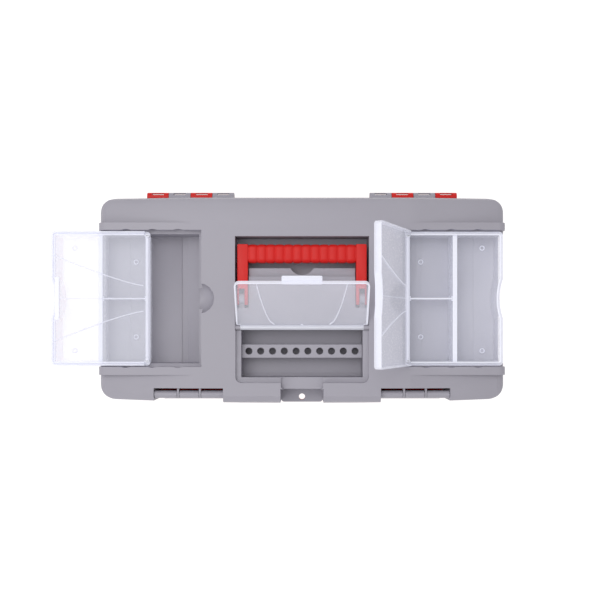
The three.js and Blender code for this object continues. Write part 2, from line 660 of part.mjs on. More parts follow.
function trayLedge(side) {
  const inner = side * (TRAY_HALF + 1.5);
  const outer = side * (LENGTH / 2 - CASE_INSET - WALL);
  const top = TRAY_TOP - TRAY_FLANGE_THICK - GAP;
  return box(inner, outer, -TRAY_LEDGE_HALF, TRAY_LEDGE_HALF, top - TRAY_LEDGE_HEIGHT, top);
}

function caseBody() {
  const wall = tapered(CASE_INSET, 0, CASE_TOP + 2 * CASE_EDGE_R, CASE_EDGE_R)
    .intersect(box(-LENGTH, LENGTH, -DEPTH, DEPTH, 0, CASE_TOP));
  const belt = tapered(CASE_INSET - BELT_PROUD, BELT_LOW, BELT_LOW + BELT_HEIGHT);
  const rim = upright(outline(RIM_INSET), CASE_TOP - RIM_HEIGHT, CASE_TOP, 0, 6);
  const lipOut = WALL + UPSTAND_GAP;
  const lip = cut(upright(outline(lipOut), CASE_TOP - 1, CASE_TOP + UPSTAND, 0, 6),
    upright(outline(lipOut + UPSTAND_WALL), 0, CASE_TOP + OVER, 0, 6),
    box(-NICHE_HALF - 2 * WALL, NICHE_HALF + 2 * WALL, -DEPTH, 0, CASE_TOP, CASE_TOP + OVER),
    ...SIDES.map((side) => box(side * (LATCH_INNER - 2 * WALL), side * (LATCH_OUTER + 2 * WALL),
      -DEPTH, 0, CASE_TOP, CASE_TOP + OVER)));
  const inside = tapered(CASE_INSET + WALL, WALL, CASE_TOP + OVER);
  const eyePad = tongue(CASE_TOP - SHELF_THICK, CASE_TOP);
  const eyeNiche = box(-NICHE_HALF + WALL, NICHE_HALF - WALL, -DEPTH, EYE_AT + EYE_R + 1,
    CATCH_RECESS_LOW, CASE_TOP - SHELF_THICK);
  const eyeWall = box(-NICHE_HALF, NICHE_HALF, -DEPTH / 2 + CASE_INSET + WALL, EYE_AT + EYE_R + 1 + WALL,
    CATCH_RECESS_LOW - WALL, CASE_TOP);
  const web = polygon([
    [DEPTH / 2 - CASE_INSET - WALL / 2, CASE_TOP - RIM_HEIGHT],
    [HINGE_Y + KNUCKLE_R / 2, HINGE_Z - 0.86 * KNUCKLE_R],
    [HINGE_Y, HINGE_Z],
    [HINGE_Y - KNUCKLE_R, HINGE_Z],
    [DEPTH / 2 + GAP, CASE_TOP],
    [DEPTH / 2 - CASE_INSET - WALL / 2, CASE_TOP],
  ]);
  const shell = join(cut(join(wall, belt, rim), inside),
    ...SIDES.map((side) => catchRecess(side, WALL)), eyeWall, eyePad, lip);
  const open = cut(shell, ...SIDES.map((side) => catchRecess(side, 0)), eyeNiche,
    rodZ(0, EYE_AT, EYE_R, CATCH_RECESS_LOW, CASE_TOP + OVER));
  return join(open, ...SIDES.flatMap((side) => [
    catchRib(side),
    shelf(side),
    trayLedge(side),
    knuckles(side, 1, web),
  ]));
}

// ---- Tray ----

function tray() {
  const bottom = TRAY_TOP - TRAY_DEPTH;
  const dividerTop = TRAY_TOP - TRAY_DIVIDER_DROP;
  const plan = (inset) => roundedRect(-TRAY_HALF + inset, TRAY_HALF - inset, TRAY_FRONT + inset,
    TRAY_BACK - inset, TRAY_CORNER_R - inset);
  const shell = cut(upright(plan(0), bottom, TRAY_TOP), upright(plan(TRAY_WALL), bottom + TRAY_WALL,
    TRAY_TOP + OVER));
  const flanges = SIDES.map((side) => box(side * (TRAY_HALF - 1), side * (TRAY_HALF + TRAY_FLANGE),
    -TRAY_FLANGE_HALF, TRAY_FLANGE_HALF, TRAY_TOP - TRAY_FLANGE_THICK, TRAY_TOP));
  const tongues = SIDES.map((side) => box(side * (TRAY_HALF - TRAY_WALL - SPINE_TONGUE),
    side * (TRAY_HALF - 1), SPINE_Y - SPINE_TONGUE_THICK / 2, SPINE_Y + SPINE_TONGUE_THICK / 2, bottom + 1,
    dividerTop));
  const spineBack = SPINE_Y + SPINE_THICK / 2;
  const crossWalls = SIDES.map((side) => box(side * TRAY_HALF / 3 - TRAY_WALL / 2,
    side * TRAY_HALF / 3 + TRAY_WALL / 2, spineBack + GAP, TRAY_BACK - 1, bottom + 1, dividerTop));
  return join(shell, ...flanges, ...tongues, ...crossWalls);
}

// The spine that divides the tray and carries its grip: it drops over the tongues.
function traySpine() {
  const bottom = TRAY_TOP - TRAY_DEPTH + TRAY_WALL + GAP;
  const end = TRAY_HALF - TRAY_WALL - GAP;
  const dividerTop = TRAY_TOP - TRAY_DIVIDER_DROP;
  const gripTop = TRAY_TOP - GRIP_HOLE_DROP;
  const spine = polygon([
    [-end, bottom],
    [end, bottom],
    [end, dividerTop],
    [SPINE_HALF, dividerTop],
    [SPINE_HALF - SPINE_SLOPE, TRAY_TOP + SPINE_RISE],
    [-SPINE_HALF + SPINE_SLOPE, TRAY_TOP + SPINE_RISE],
    [-SPINE_HALF, dividerTop],
    [-end, dividerTop],
  ]);
  const gripHole = roundedRect(-GRIP_HOLE_HALF, GRIP_HOLE_HALF, gripTop - GRIP_HOLE_HEIGHT, gripTop,
    GRIP_HOLE_HEIGHT / 3);
  const grooveHalf = SPINE_TONGUE_THICK / 2 + GAP;
  const grooves = SIDES.map((side) => box(side * (end - SPINE_TONGUE), side * (end + OVER),
    SPINE_Y - grooveHalf, SPINE_Y + grooveHalf, 0, TOP));
  return cut(alongY(spine, SPINE_Y - SPINE_THICK / 2, SPINE_Y + SPINE_THICK / 2),
    alongY(gripHole, SPINE_Y - SPINE_THICK, SPINE_Y + SPINE_THICK), ...grooves);
}

// ---- Organisers, drawn with the hinge edge at x = 0 and the sides at y = +-ORGANISER_HALF ----

// The organiser's plan with a finger hollow in its outer end, drawn in by inset.
function organiserPlan(inset) {
  const radius = ORGANISER_CORNER_R - 0.6 * inset;
  const end = ORGANISER_LENGTH - inset;
  const half = ORGANISER_HALF - inset;
  const hollowR = (FINGER_CHORD ** 2 / 4 + FINGER_DEPTH ** 2) / (2 * FINGER_DEPTH) + inset;
  const hollowX = end + hollowR - FINGER_DEPTH;
  const reach = Math.asin(Math.sqrt(hollowR ** 2 - (hollowR - FINGER_DEPTH) ** 2) / hollowR);
  const shape = new THREE.Shape();
  shape.moveTo(inset + radius, -half);
  shape.absarc(end - radius, radius - half, radius, -Math.PI / 2, 0, false);
  shape.absarc(hollowX, 0, hollowR, Math.PI + reach, Math.PI - reach, true);
  shape.absarc(end - radius, half - radius, radius, 0, Math.PI / 2, false);
  shape.absarc(inset + radius, half - radius, radius, Math.PI / 2, Math.PI, false);
  shape.absarc(inset + radius, radius - half, radius, Math.PI, 1.5 * Math.PI, false);
  return shape;
}

const EAR_OUTER = ORGANISER_HALF - EAR_FROM_SIDE;
const EAR_INNER = EAR_OUTER - EAR_THICK;

function ear(side) {
  const head = rodY(LID_HINGE_IN, LID_HINGE_Z, LID_HINGE_R, side * EAR_INNER, side * EAR_OUTER);
  const foot = box(LID_HINGE_IN - LID_HINGE_R, FLANGE_WIDTH + ORGANISER_WALL, side * EAR_INNER,
    side * EAR_OUTER, FLANGE_Z + 1, LID_HINGE_Z - 1);
  return join(head, foot);
}

function organiserBox() {
  const bottom = WELL_Z + ORGANISER_FLOOR_GAP;
  const inner = FLANGE_WIDTH + ORGANISER_WALL;
  const floor = bottom + ORGANISER_WALL;
  const wallTop = ORGANISER_WALL_TOP - INNER_WALL_DROP;
  const tub = cut(upright(organiserPlan(FLANGE_WIDTH), bottom, ORGANISER_WALL_TOP),
    upright(organiserPlan(inner), floor, TOP + OVER));
  const flange = cut(upright(organiserPlan(0), FLANGE_Z, FLANGE_TOP),
    upright(organiserPlan(FLANGE_WIDTH + ORGANISER_WALL / 2), 0, TOP + OVER));
  const hingeSide = box(-OVER, inner + 1, -ORGANISER_HALF, ORGANISER_HALF,
    LID_HINGE_Z - LID_HINGE_R - FIT, TOP + OVER);
  const skinHalf = ORGANISER_HALF - FLANGE_WIDTH - 1;
  const skin = (x) => box(x - DOUBLE_WALL_SKIN / 2, x + DOUBLE_WALL_SKIN / 2, -skinHalf, skinHalf, floor - 1,
    wallTop);
  const skinOffset = (DOUBLE_WALL_GAP + DOUBLE_WALL_SKIN) / 2;
  const ribY = DIVIDER_THICK / 2 + GAP;
  const nearWall = DOUBLE_WALL_AT - skinOffset - DOUBLE_WALL_SKIN / 2;
  const guides = SIDES.flatMap((side) => [
    box(inner - 1, inner + GUIDE_RIB, side * ribY, side * (ribY + GUIDE_RIB), floor - 1, wallTop - 1),
    box(nearWall - GUIDE_RIB, nearWall + 1, side * ribY, side * (ribY + GUIDE_RIB), floor - 1, wallTop - 1),
  ]);
  return cut(join(cut(join(tub, flange), hingeSide), skin(DOUBLE_WALL_AT - skinOffset),
    skin(DOUBLE_WALL_AT + skinOffset), ...guides, ...SIDES.map(ear)),
  rodY(LID_HINGE_IN, LID_HINGE_Z, PIP_HOLE_R, -ORGANISER_HALF, ORGANISER_HALF, 12));
}

function organiserDivider() {
  const from = FLANGE_WIDTH + ORGANISER_WALL + GAP;
  const to = DOUBLE_WALL_AT - DOUBLE_WALL_GAP / 2 - DOUBLE_WALL_SKIN - GAP;
  const bottom = WELL_Z + ORGANISER_FLOOR_GAP + ORGANISER_WALL + GAP;
  return box(from, to, -DIVIDER_THICK / 2, DIVIDER_THICK / 2, bottom, ORGANISER_WALL_TOP - INNER_WALL_DROP);
}

// The organiser's lid, shut: a plate with a skirt on three sides and a hinge barrel with two pips.
function organiserLid() {
  const low = ORGANISER_LID_TOP - ORGANISER_LID_THICK;
  const barrelHalf = EAR_INNER - GAP;
  const plate = upright(organiserPlan(GAP), low, ORGANISER_LID_TOP);
  const skirt = cut(upright(organiserPlan(GAP), FLANGE_TOP + FIT, ORGANISER_LID_TOP),
    upright(organiserPlan(GAP + LID_SKIRT_WALL), 0, low + 1),
    box(-OVER, FLANGE_WIDTH + ORGANISER_WALL + GAP, -DEPTH, DEPTH, 0, low));
  const clearance = SIDES.map((side) => box(-OVER, FLANGE_WIDTH + ORGANISER_WALL + FIT, side * barrelHalf,
    side * DEPTH, 0, TOP + OVER));
  const edge = box(-OVER, LID_HINGE_IN, -DEPTH, DEPTH, 0, TOP + OVER);
  const barrel = rodY(LID_HINGE_IN, LID_HINGE_Z, LID_HINGE_R, -barrelHalf, barrelHalf);
  const pips = rodY(LID_HINGE_IN, LID_HINGE_Z, PIP_R, GAP - EAR_OUTER, EAR_OUTER - GAP, 12);
  return join(cut(join(plate, skirt), edge, ...clearance), barrel, pips);
}

// ---- Handle ----

function carryHandle() {
  const low = HANDLE_TOP - HANDLE_THICK;
  const gripFront = GRIP_BACK - GRIP_WIDTH;
  const section = (inset) => roundedRect(gripFront + inset, GRIP_BACK - inset, low + inset,
    HANDLE_TOP - inset, GRIP_R - inset);
  const ribsHalf = (GRIP_RIBS * RIB_PITCH) / 2;
  const core = alongX(section(GROOVE_DEPTH), -HANDLE_HALF + 1, HANDLE_HALF - 1, 0, 2);
  const ribs = Array.from({ length: GRIP_RIBS }, (_, index) => {
    const middle = (index + 0.5) * RIB_PITCH - ribsHalf;
    return alongX(section(0), middle - RIB_LENGTH / 2, middle + RIB_LENGTH / 2, 0, 2);
  });
  const arms = SIDES.flatMap((side) => {
    const inner = side * (HANDLE_HALF - ARM_WIDTH);
    const outer = side * HANDLE_HALF;
    return [
      alongX(section(0), inner - side * GROOVE_DEPTH, outer, 0, 2),
      box(inner, outer, PIVOT_AT, gripFront + GRIP_R + 1, low, HANDLE_TOP),
      rodX(PIVOT_AT, PIVOT_Z, HANDLE_THICK / 2, inner, outer),
    ];
  });
  const forks = SIDES.map((side) => box(side * (LUG_INNER - GAP), side * (LUG_OUTER + GAP),
    PIVOT_AT - HANDLE_THICK, PIVOT_AT + FORK_LENGTH, low - 1, HANDLE_TOP + 1));
  const rounding = upright(roundedRect(-HANDLE_HALF, HANDLE_HALF, -DEPTH / 2, GRIP_BACK, HANDLE_CORNER_R),
    low - 1, HANDLE_TOP + 1);
  return cut(join(core, ...ribs, ...arms).intersect(rounding), ...forks,
    rodX(PIVOT_AT, PIVOT_Z, PIN_HOLE_R, -HANDLE_HALF, HANDLE_HALF));
}

// ---- Cover, drawn shut ----

function centreCover() {
  const front = COVER_HINGE_AT - COVER_LENGTH;
  const plan = (inset) => roundedRect(-COVER_HALF + inset, COVER_HALF - inset, front + inset,
    COVER_HINGE_AT, COVER_CORNER_R - inset);
  const low = COVER_TOP - COVER_THICK;
  const tab = upright(roundedRect(-COVER_TAB_HALF, COVER_TAB_HALF, front - COVER_TAB, front + COVER_TAB, 2),
    low, COVER_TOP);
  const skirt = cut(upright(plan(0), COVER_TOP - COVER_SKIRT, COVER_TOP),
    upright(plan(COVER_SKIRT_WALL), 0, low + 1),
    box(-DEPTH, DEPTH, COVER_HINGE_AT - 2 * COVER_BARREL_R, 0, 0, low));
  const barrelHalf = RECESS_HALF - COVER_LUG - FIT;
  const corners = SIDES.map((side) => box(side * barrelHalf, side * DEPTH,
    COVER_HINGE_AT - COVER_BARREL_R - FIT, 0, 0, TOP + OVER));
  const barrel = rodX(COVER_HINGE_AT, COVER_AXIS_Z, COVER_BARREL_R, -barrelHalf, barrelHalf);
  return cut(join(cut(join(upright(plan(0), low, COVER_TOP), tab, skirt), ...corners), barrel),
    rodX(COVER_HINGE_AT, COVER_AXIS_Z, COVER_ROD_R + FIT, -COVER_HALF, COVER_HALF));
}

// ---- Bit rack ----

function bitRack() {
  const half = BAY_HALF - GAP;
  const front = RACK_MIDDLE - RACK_WIDTH / 2;
  const back = RACK_MIDDLE + RACK_WIDTH / 2;
  const whole = box(-half, half, front, back, BAY_Z + GAP, RACK_TOP);
  const under = box(-half - 1, half + 1, front + RACK_WALL, back - RACK_WALL, BAY_Z - 1,
    RACK_TOP - RACK_PLATE);
  const bits = Array.from({ length: BIT_COUNT }, (_, index) => {
    const x = (index - (BIT_COUNT - 1) / 2) * BIT_PITCH;
    return rodZ(x, RACK_MIDDLE, BIT_R, BAY_Z, TOP, 12);
  });
  return cut(whole, under, ...bits);
}

// ---- Latch, drawn shut ----

function latch(side) {
  const inner = side * (LATCH_INNER + FIT);
  const outer = side * (LATCH_OUTER - FIT);
  const plateOut = -LATCH_BARREL_R;
  const plateIn = plateOut + LATCH_PLATE;
  const hookTop = CATCH_TOP - CATCH_HEIGHT - FIT - LATCH_Z;
  const hookLow = hookTop - LATCH_HOOK_HEIGHT;
  const section = polygon([
    [plateIn, 0],
    [plateOut, 0],
    [plateOut, hookLow],
    [plateOut - LATCH_LIP_PROUD, hookLow - LATCH_LIP],
    [plateOut, hookLow - LATCH_LIP - 1],
    [plateIn, hookLow - 2],
    [plateIn, hookLow],
    [plateIn + LATCH_HOOK, hookLow + 1],
    [plateIn + LATCH_HOOK, hookTop],
    [plateIn, hookTop],
  ].map(([y, z]) => [LATCH_AXIS_AT + y, LATCH_Z + z]));
  const slots = LATCH_LUGS.map((middle) => box(side * (middle - LATCH_LUG_WIDTH / 2 - FIT),
    side * (middle + LATCH_LUG_WIDTH / 2 + FIT), -DEPTH, 0, LATCH_Z - 2.2 * LATCH_BARREL_R, TOP + OVER));
  return cut(join(alongX(section, inner, outer), rodX(LATCH_AXIS_AT, LATCH_Z, LATCH_BARREL_R, inner, outer)),
    ...slots, rodX(LATCH_AXIS_AT, LATCH_Z, PIN_HOLE_R, 0, side * LENGTH / 2));
}

// ---- Assembly ----

// A group that turns about an axis through (x, y, z), for a piece drawn in its untipped place.
function turned(x, y, z, rotation, ...meshes) {
  const pivot = new THREE.Group();
  pivot.position.set(x, y, z);
  pivot.rotation.set(...rotation);
  for (const mesh of meshes) {
    mesh.position.set(-x, -y, -z);
    pivot.add(mesh);
  }
  return pivot;
}

const toolbox = new THREE.Group();
toolbox.add(piece('case_body', caseBody(), redPlastic));
toolbox.add(piece('tray', tray(), darkPlastic));
toolbox.add(piece('tray_spine', traySpine(), darkPlastic));
toolbox.add(piece('lid_shell', lidShell(), greyPlastic));
toolbox.add(piece('bit_rack', bitRack(), greyPlastic));
toolbox.add(piece('carry_handle', carryHandle(), redPlastic));

for (const side of SIDES) {
  const name = sideName(side);
  const hingeEnd = knuckleStart(KNUCKLES) - KNUCKLE_SPACE;
  const pins = {
    hinge: rodX(HINGE_Y, HINGE_Z, PIN_R, side * (KNUCKLE_START + 1), side * (hingeEnd - 1), 12),
    handle: rodX(PIVOT_AT, PIVOT_Z, PIN_R, side * (HANDLE_HALF - ARM_WIDTH + 1),
      side * (HANDLE_HALF - 1), 12),
    latch: rodX(LATCH_AXIS_AT, LATCH_Z, PIN_R, side * (LATCH_INNER - WALL + GAP),
      side * (LATCH_OUTER + WALL - GAP), 12),
  };
  for (const [place, pin] of Object.entries(pins)) {
    toolbox.add(piece(`${place}_pin_${name}`, pin, steel));
  }
  const released = -THREE.MathUtils.degToRad(LATCH_RELEASED);
  toolbox.add(turned(0, LATCH_AXIS_AT, LATCH_Z, [released, 0, 0],
    piece(`latch_${name}`, latch(side), greyPlastic)));
}

const coverAngle = -THREE.MathUtils.degToRad(COVER_OPEN);
toolbox.add(turned(0, COVER_HINGE_AT, COVER_AXIS_Z, [coverAngle, 0, 0],
  piece('centre_cover', centreCover(), frostedPlastic)));
toolbox.add(piece('cover_hinge_rod', rodX(COVER_HINGE_AT, COVER_AXIS_Z, COVER_ROD_R, GAP - RECESS_HALF,
  RECESS_HALF - GAP, 12), steel));

for (const side of SIDES) {
  const name = sideName(side);
  const organiser = new THREE.Group();
  organiser.position.set(side * (ORGANISER_X + (side < 0 ? LEFT_SLIDE : 0)), ORGANISER_Y, 0);
  organiser.rotation.z = side < 0 ? Math.PI : 0;
  organiser.add(piece(`organiser_box_${name}`, organiserBox(), frostedPlastic));
  organiser.add(piece(`organiser_divider_${name}`, organiserDivider(), frostedPlastic));
  const open = side < 0 ? 0 : -THREE.MathUtils.degToRad(RIGHT_LID_OPEN);
  organiser.add(turned(LID_HINGE_IN, 0, LID_HINGE_Z, [0, open, 0],
    piece(`organiser_lid_${name}`, organiserLid(), frostedPlastic)));
  toolbox.add(organiser);
}

export default toolbox;
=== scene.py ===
# %% [markdown]
# # A toolbox with a tray, finished in Blender
# The toolbox is moulded plastic: a red case, a grey lid with sunk wells, two see-through organisers, a clear
# cover over the bit bay, a red carry handle and two grey latches. Its sizes and joints are already fixed in a
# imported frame. This lesson loads that frame, gives each moulding its fine shape, and gives each finish a
# material of its own. Everything is in metres, +X along the box, +Y to its back and +Z up.

import json
import math

import bmesh
import bpy
import numpy as np
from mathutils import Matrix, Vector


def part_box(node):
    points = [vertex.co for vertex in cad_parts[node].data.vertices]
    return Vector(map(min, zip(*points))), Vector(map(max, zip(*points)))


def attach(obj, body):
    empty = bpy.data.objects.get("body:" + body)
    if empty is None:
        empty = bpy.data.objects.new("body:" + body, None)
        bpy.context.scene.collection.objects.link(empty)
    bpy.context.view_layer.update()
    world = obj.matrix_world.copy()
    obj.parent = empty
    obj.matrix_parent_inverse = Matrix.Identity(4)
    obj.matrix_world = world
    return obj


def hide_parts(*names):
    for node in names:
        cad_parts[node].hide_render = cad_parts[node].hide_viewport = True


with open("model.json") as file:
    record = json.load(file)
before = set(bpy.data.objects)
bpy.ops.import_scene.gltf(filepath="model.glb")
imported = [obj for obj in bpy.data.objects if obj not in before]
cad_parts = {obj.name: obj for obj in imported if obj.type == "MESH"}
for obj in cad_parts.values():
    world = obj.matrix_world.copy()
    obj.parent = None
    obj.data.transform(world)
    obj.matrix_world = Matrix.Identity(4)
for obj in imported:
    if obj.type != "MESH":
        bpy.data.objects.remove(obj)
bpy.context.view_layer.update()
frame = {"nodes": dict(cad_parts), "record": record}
scene = bpy.context.scene
MM = 0.001

# %% [markdown]
# ## Camera
# The toolbox is looked at from straight above, as goods are laid out for a catalogue. A camera over the
# handle that looks straight down keeps all upright edges pointing at one spot. A small lens shift then puts
# the box in the middle of the frame without tilting the camera, which would make the lid's outline taper.

# %% Camera
LID_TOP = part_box("lid_shell")[1].z
CAMERA_HEIGHT = 0.882            # above the lid's top
CAMERA_Y = -0.0304
PICTURE_SIDE = 0.608             # what the square picture spans at the lid's top
LENS_SHIFT = (-0.0033, 0.05)     # in picture widths

camera_data = bpy.data.cameras.new("camera")
camera_data.sensor_width = 36.0
camera_data.lens = camera_data.sensor_width * CAMERA_HEIGHT / PICTURE_SIDE
camera_data.shift_x, camera_data.shift_y = LENS_SHIFT
camera = bpy.data.objects.new("camera", camera_data)
camera.location = (0.0, CAMERA_Y, LID_TOP + CAMERA_HEIGHT)
scene.collection.objects.link(camera)
scene.camera = camera
print("lens in mm:", round(camera_data.lens, 2))

# %% [markdown]
# ## Light and floor
# A catalogue picture has a white table and broad soft light, so shadows are weak and the plastic shows its
# own colour. A bright world gives the even fill. One wide lamp overhead and a smaller one from the front left
# give the rounded edges their gradients. Colours are kept plain by the Standard view transform.

# %% Light and floor
scene.view_settings.view_transform = "Standard"
scene.view_settings.look = "None"

world = bpy.data.worlds.new("studio")
world.use_nodes = True
fill = world.node_tree.nodes["Background"]
fill.inputs["Color"].default_value = (1.0, 1.0, 1.0, 1.0)
fill.inputs["Strength"].default_value = 0.62
scene.world = world


def area_lamp(name, place, aim, side, power):
    """A square lamp of the given side at place, turned to face aim."""
    lamp = bpy.data.lights.new(name, "AREA")
    lamp.size = side
    lamp.energy = power
    holder = bpy.data.objects.new(name, lamp)
    away = np.array(place) - np.array(aim)
    flat = math.hypot(away[0], away[1])
    holder.location = place
    holder.rotation_euler = (math.atan2(flat, away[2]), 0.0, math.atan2(away[0], -away[1]))
    scene.collection.objects.link(holder)
    return holder


LAMP_AIM = (0.0, 0.0, 0.1)       # the middle of the case
area_lamp("overhead", (-0.35, 0.25, 1.7), LAMP_AIM, side=1.1, power=11.0)
area_lamp("front_left", (-1.1, -1.2, 1.1), LAMP_AIM, side=0.9, power=5.0)

FLOOR_HALF = 6.0
floor_mesh = bpy.data.meshes.new("floor")
corners = [(-FLOOR_HALF, -FLOOR_HALF, 0), (FLOOR_HALF, -FLOOR_HALF, 0), (FLOOR_HALF, FLOOR_HALF, 0),
           (-FLOOR_HALF, FLOOR_HALF, 0)]
floor_mesh.from_pydata(corners, [], [(0, 1, 2, 3)])
floor = bpy.data.objects.new("floor", floor_mesh)
scene.collection.objects.link(floor)
floor_paint = bpy.data.materials.new("white_table")
floor_paint.use_nodes = True
floor_shader = floor_paint.node_tree.nodes["Principled BSDF"]
floor_shader.inputs["Base Color"].default_value = (0.2, 0.2, 0.2, 1.0)
floor_shader.inputs["Roughness"].default_value = 0.9
floor_shader.inputs["Emission Color"].default_value = (1.0, 1.0, 1.0, 1.0)
floor_shader.inputs["Emission Strength"].default_value = 0.92
floor_mesh.materials.append(floor_paint)
print("floor side:", 2 * FLOOR_HALF, "m")

# %% [markdown]
# ## Moulded plastic
# Injection-moulded polypropylene has a fine spark-eroded grain on its show faces, a little sheen, and slow
# changes of tone where the melt flowed and cooled. It could be one flat colour, but then large faces look
# like paper. Here two noises do the work: a slow one shifts the tone and the roughness by a few per cent, and
# a fast one makes the grain as a bump.

# %% Moulded plastic
def linear(r, g, b):
    """The linear colour of a display colour from 0 to 255: each channel is raised by the display's curve."""
    channel = np.array([r, g, b]) / 255.0
    low = channel / 12.92
    high = ((channel + 0.055) / 1.055) ** 2.4
    return (*np.where(channel <= 0.04045, low, high).tolist(), 1.0)


def node(tree, kind, **inputs):
    """A shader node with some of its inputs set by name."""
    made = tree.nodes.new(kind)
    for name, value in inputs.items():
        made.inputs[name.replace("_", " ")].default_value = value
    return made


def mixed(tree, factor, low, high):
    """A colour that goes from low to high as the linked factor goes from 0 to 1."""
    mix = tree.nodes.new("ShaderNodeMix")
    mix.data_type = "RGBA"
    mix.inputs["A"].default_value = low
    mix.inputs["B"].default_value = high
    tree.links.new(factor, mix.inputs["Factor"])
    return mix.outputs["Result"]


def span(tree, value, from_low, from_high, to_low, to_high):
    """A value carried from one range to another, and held inside it."""
    ranged = tree.nodes.new("ShaderNodeMapRange")
    settings = {"From Min": from_low, "From Max": from_high, "To Min": to_low, "To Max": to_high}
    for name, number in settings.items():
        ranged.inputs[name].default_value = number
    tree.links.new(value, ranged.inputs["Value"])
    return ranged.outputs["Result"]


def shaded(colour, share):
    """A colour made darker or lighter by a share."""
    return (*(min(1.0, c * share) for c in colour[:3]), 1.0)


def moulded(name, colour, roughness, sheen=0.5, grain=0.00006, grain_scale=1900.0):
    """Plastic whose tone and roughness drift over a few centimetres, with fine grain as a bump."""
    paint = bpy.data.materials.new(name)
    paint.use_nodes = True
    tree = paint.node_tree
    shader = tree.nodes["Principled BSDF"]
    shader.inputs["Specular IOR Level"].default_value = sheen
    place = tree.nodes.new("ShaderNodeTexCoord").outputs["Object"]
    drift = node(tree, "ShaderNodeTexNoise", Scale=22.0, Detail=3.0, Roughness=0.5)
    fine = node(tree, "ShaderNodeTexNoise", Scale=grain_scale, Detail=2.0, Roughness=0.6)
    for pattern in (drift, fine):
        tree.links.new(place, pattern.inputs["Vector"])
    tone = mixed(tree, drift.outputs["Fac"], shaded(colour, 0.94), shaded(colour, 1.06))
    tree.links.new(tone, shader.inputs["Base Color"])
    dull = span(tree, drift.outputs["Fac"], 0.3, 0.7, roughness - 0.05, roughness + 0.05)
    tree.links.new(dull, shader.inputs["Roughness"])
    bump = node(tree, "ShaderNodeBump", Strength=0.5, Distance=grain)
    tree.links.new(fine.outputs["Fac"], bump.inputs["Height"])
    tree.links.new(bump.outputs["Normal"], shader.inputs["Normal"])
    return paint


GREY = linear(157, 154, 164)
RED = linear(205, 27, 23)
grey_plastic = moulded("grey_plastic", GREY, 0.5)
red_plastic = moulded("red_plastic", RED, 0.42, 0.25)
tray_plastic = moulded("tray_plastic", linear(74, 76, 82), 0.55)
print("plastics:", grey_plastic.name, red_plastic.name, tray_plastic.name)

# %% [markdown]
# ## Frosted polypropylene
# The organisers and the cover are thin, slightly milky plastic. Seen square on, a wall hides little of what
# is behind it; along a rim or a skirt the eye looks down through many millimetres of plastic, which turns
# white. Real scattering inside a 1.5 mm wall would be slow and noisy. Instead the surface lets part of the
# light straight through. Its opacity rises with the angle of view by a Layer Weight, and wherever a moulding
# has a high value of its own attribute "milk". A faint glow stands for light that scatters inside the wall.

# %% Frosted polypropylene
FROSTED = linear(234, 235, 246)
MILKY_OPACITY = 0.85
WALL_MILK = 0.31                 # milk of floors and walls, which are thicker than the lids
SCATTER_GLOW = 0.12


def frosted(name, square_on, edge_on, roughness=0.24):
    """Milky see-through plastic, with opacity max(the view-angle term, milk * MILKY_OPACITY)."""
    paint = bpy.data.materials.new(name)
    paint.use_nodes = True
    tree = paint.node_tree
    shader = tree.nodes["Principled BSDF"]
    shader.inputs["Emission Color"].default_value = (0.93, 0.94, 1.0, 1.0)
    shader.inputs["Emission Strength"].default_value = SCATTER_GLOW
    place = tree.nodes.new("ShaderNodeTexCoord").outputs["Object"]
    cloud = node(tree, "ShaderNodeTexNoise", Scale=35.0, Detail=2.0)
    peel = node(tree, "ShaderNodeTexNoise", Scale=700.0, Detail=2.0)
    for pattern in (cloud, peel):
        tree.links.new(place, pattern.inputs["Vector"])
    tone = mixed(tree, cloud.outputs["Fac"], shaded(FROSTED, 0.96), shaded(FROSTED, 1.03))
    tree.links.new(tone, shader.inputs["Base Color"])
    dull = span(tree, peel.outputs["Fac"], 0.3, 0.7, roughness - 0.04, roughness + 0.06)
    tree.links.new(dull, shader.inputs["Roughness"])
    turn = node(tree, "ShaderNodeLayerWeight", Blend=0.35)
    milk = tree.nodes.new("ShaderNodeAttribute")
    milk.attribute_name = "milk"
    opacity = tree.nodes.new("ShaderNodeMath")
    opacity.operation = "MAXIMUM"
    tree.links.new(span(tree, turn.outputs["Facing"], 0.0, 1.0, square_on, edge_on), opacity.inputs[0])
    tree.links.new(span(tree, milk.outputs["Fac"], 0.0, 1.0, 0.0, MILKY_OPACITY), opacity.inputs[1])
    tree.links.new(opacity.outputs["Value"], shader.inputs["Alpha"])
    bump = node(tree, "ShaderNodeBump", Strength=0.35, Distance=0.00005)
    tree.links.new(peel.outputs["Fac"], bump.inputs["Height"])
    tree.links.new(bump.outputs["Normal"], shader.inputs["Normal"])
    return paint


frosted_plastic = frosted("frosted_plastic", 0.12, 0.56)
print("see-through plastic:", frosted_plastic.name)

# %% [markdown]
# ## Drawn steel
# Hinge pins are cut from drawn wire: bright metal with fine lines along its length. The lines come from a
# noise that is stretched along X, which is how every pin here lies.

# %% Drawn steel
def drawn_steel():
    """Metal whose roughness and bump follow a noise stretched along X."""
    paint = bpy.data.materials.new("drawn_steel")
    paint.use_nodes = True
    tree = paint.node_tree
    shader = tree.nodes["Principled BSDF"]
    shader.inputs["Metallic"].default_value = 1.0
    stretch = node(tree, "ShaderNodeMapping", Scale=(20.0, 2500.0, 2500.0))
    tree.links.new(tree.nodes.new("ShaderNodeTexCoord").outputs["Object"], stretch.inputs["Vector"])
    lines = node(tree, "ShaderNodeTexNoise", Scale=1.0, Detail=3.0)
    tree.links.new(stretch.outputs["Vector"], lines.inputs["Vector"])
    tone = mixed(tree, lines.outputs["Fac"], (0.42, 0.43, 0.45, 1.0), (0.68, 0.69, 0.7, 1.0))
    tree.links.new(tone, shader.inputs["Base Color"])
    tree.links.new(span(tree, lines.outputs["Fac"], 0.2, 0.8, 0.22, 0.4), shader.inputs["Roughness"])
    return paint


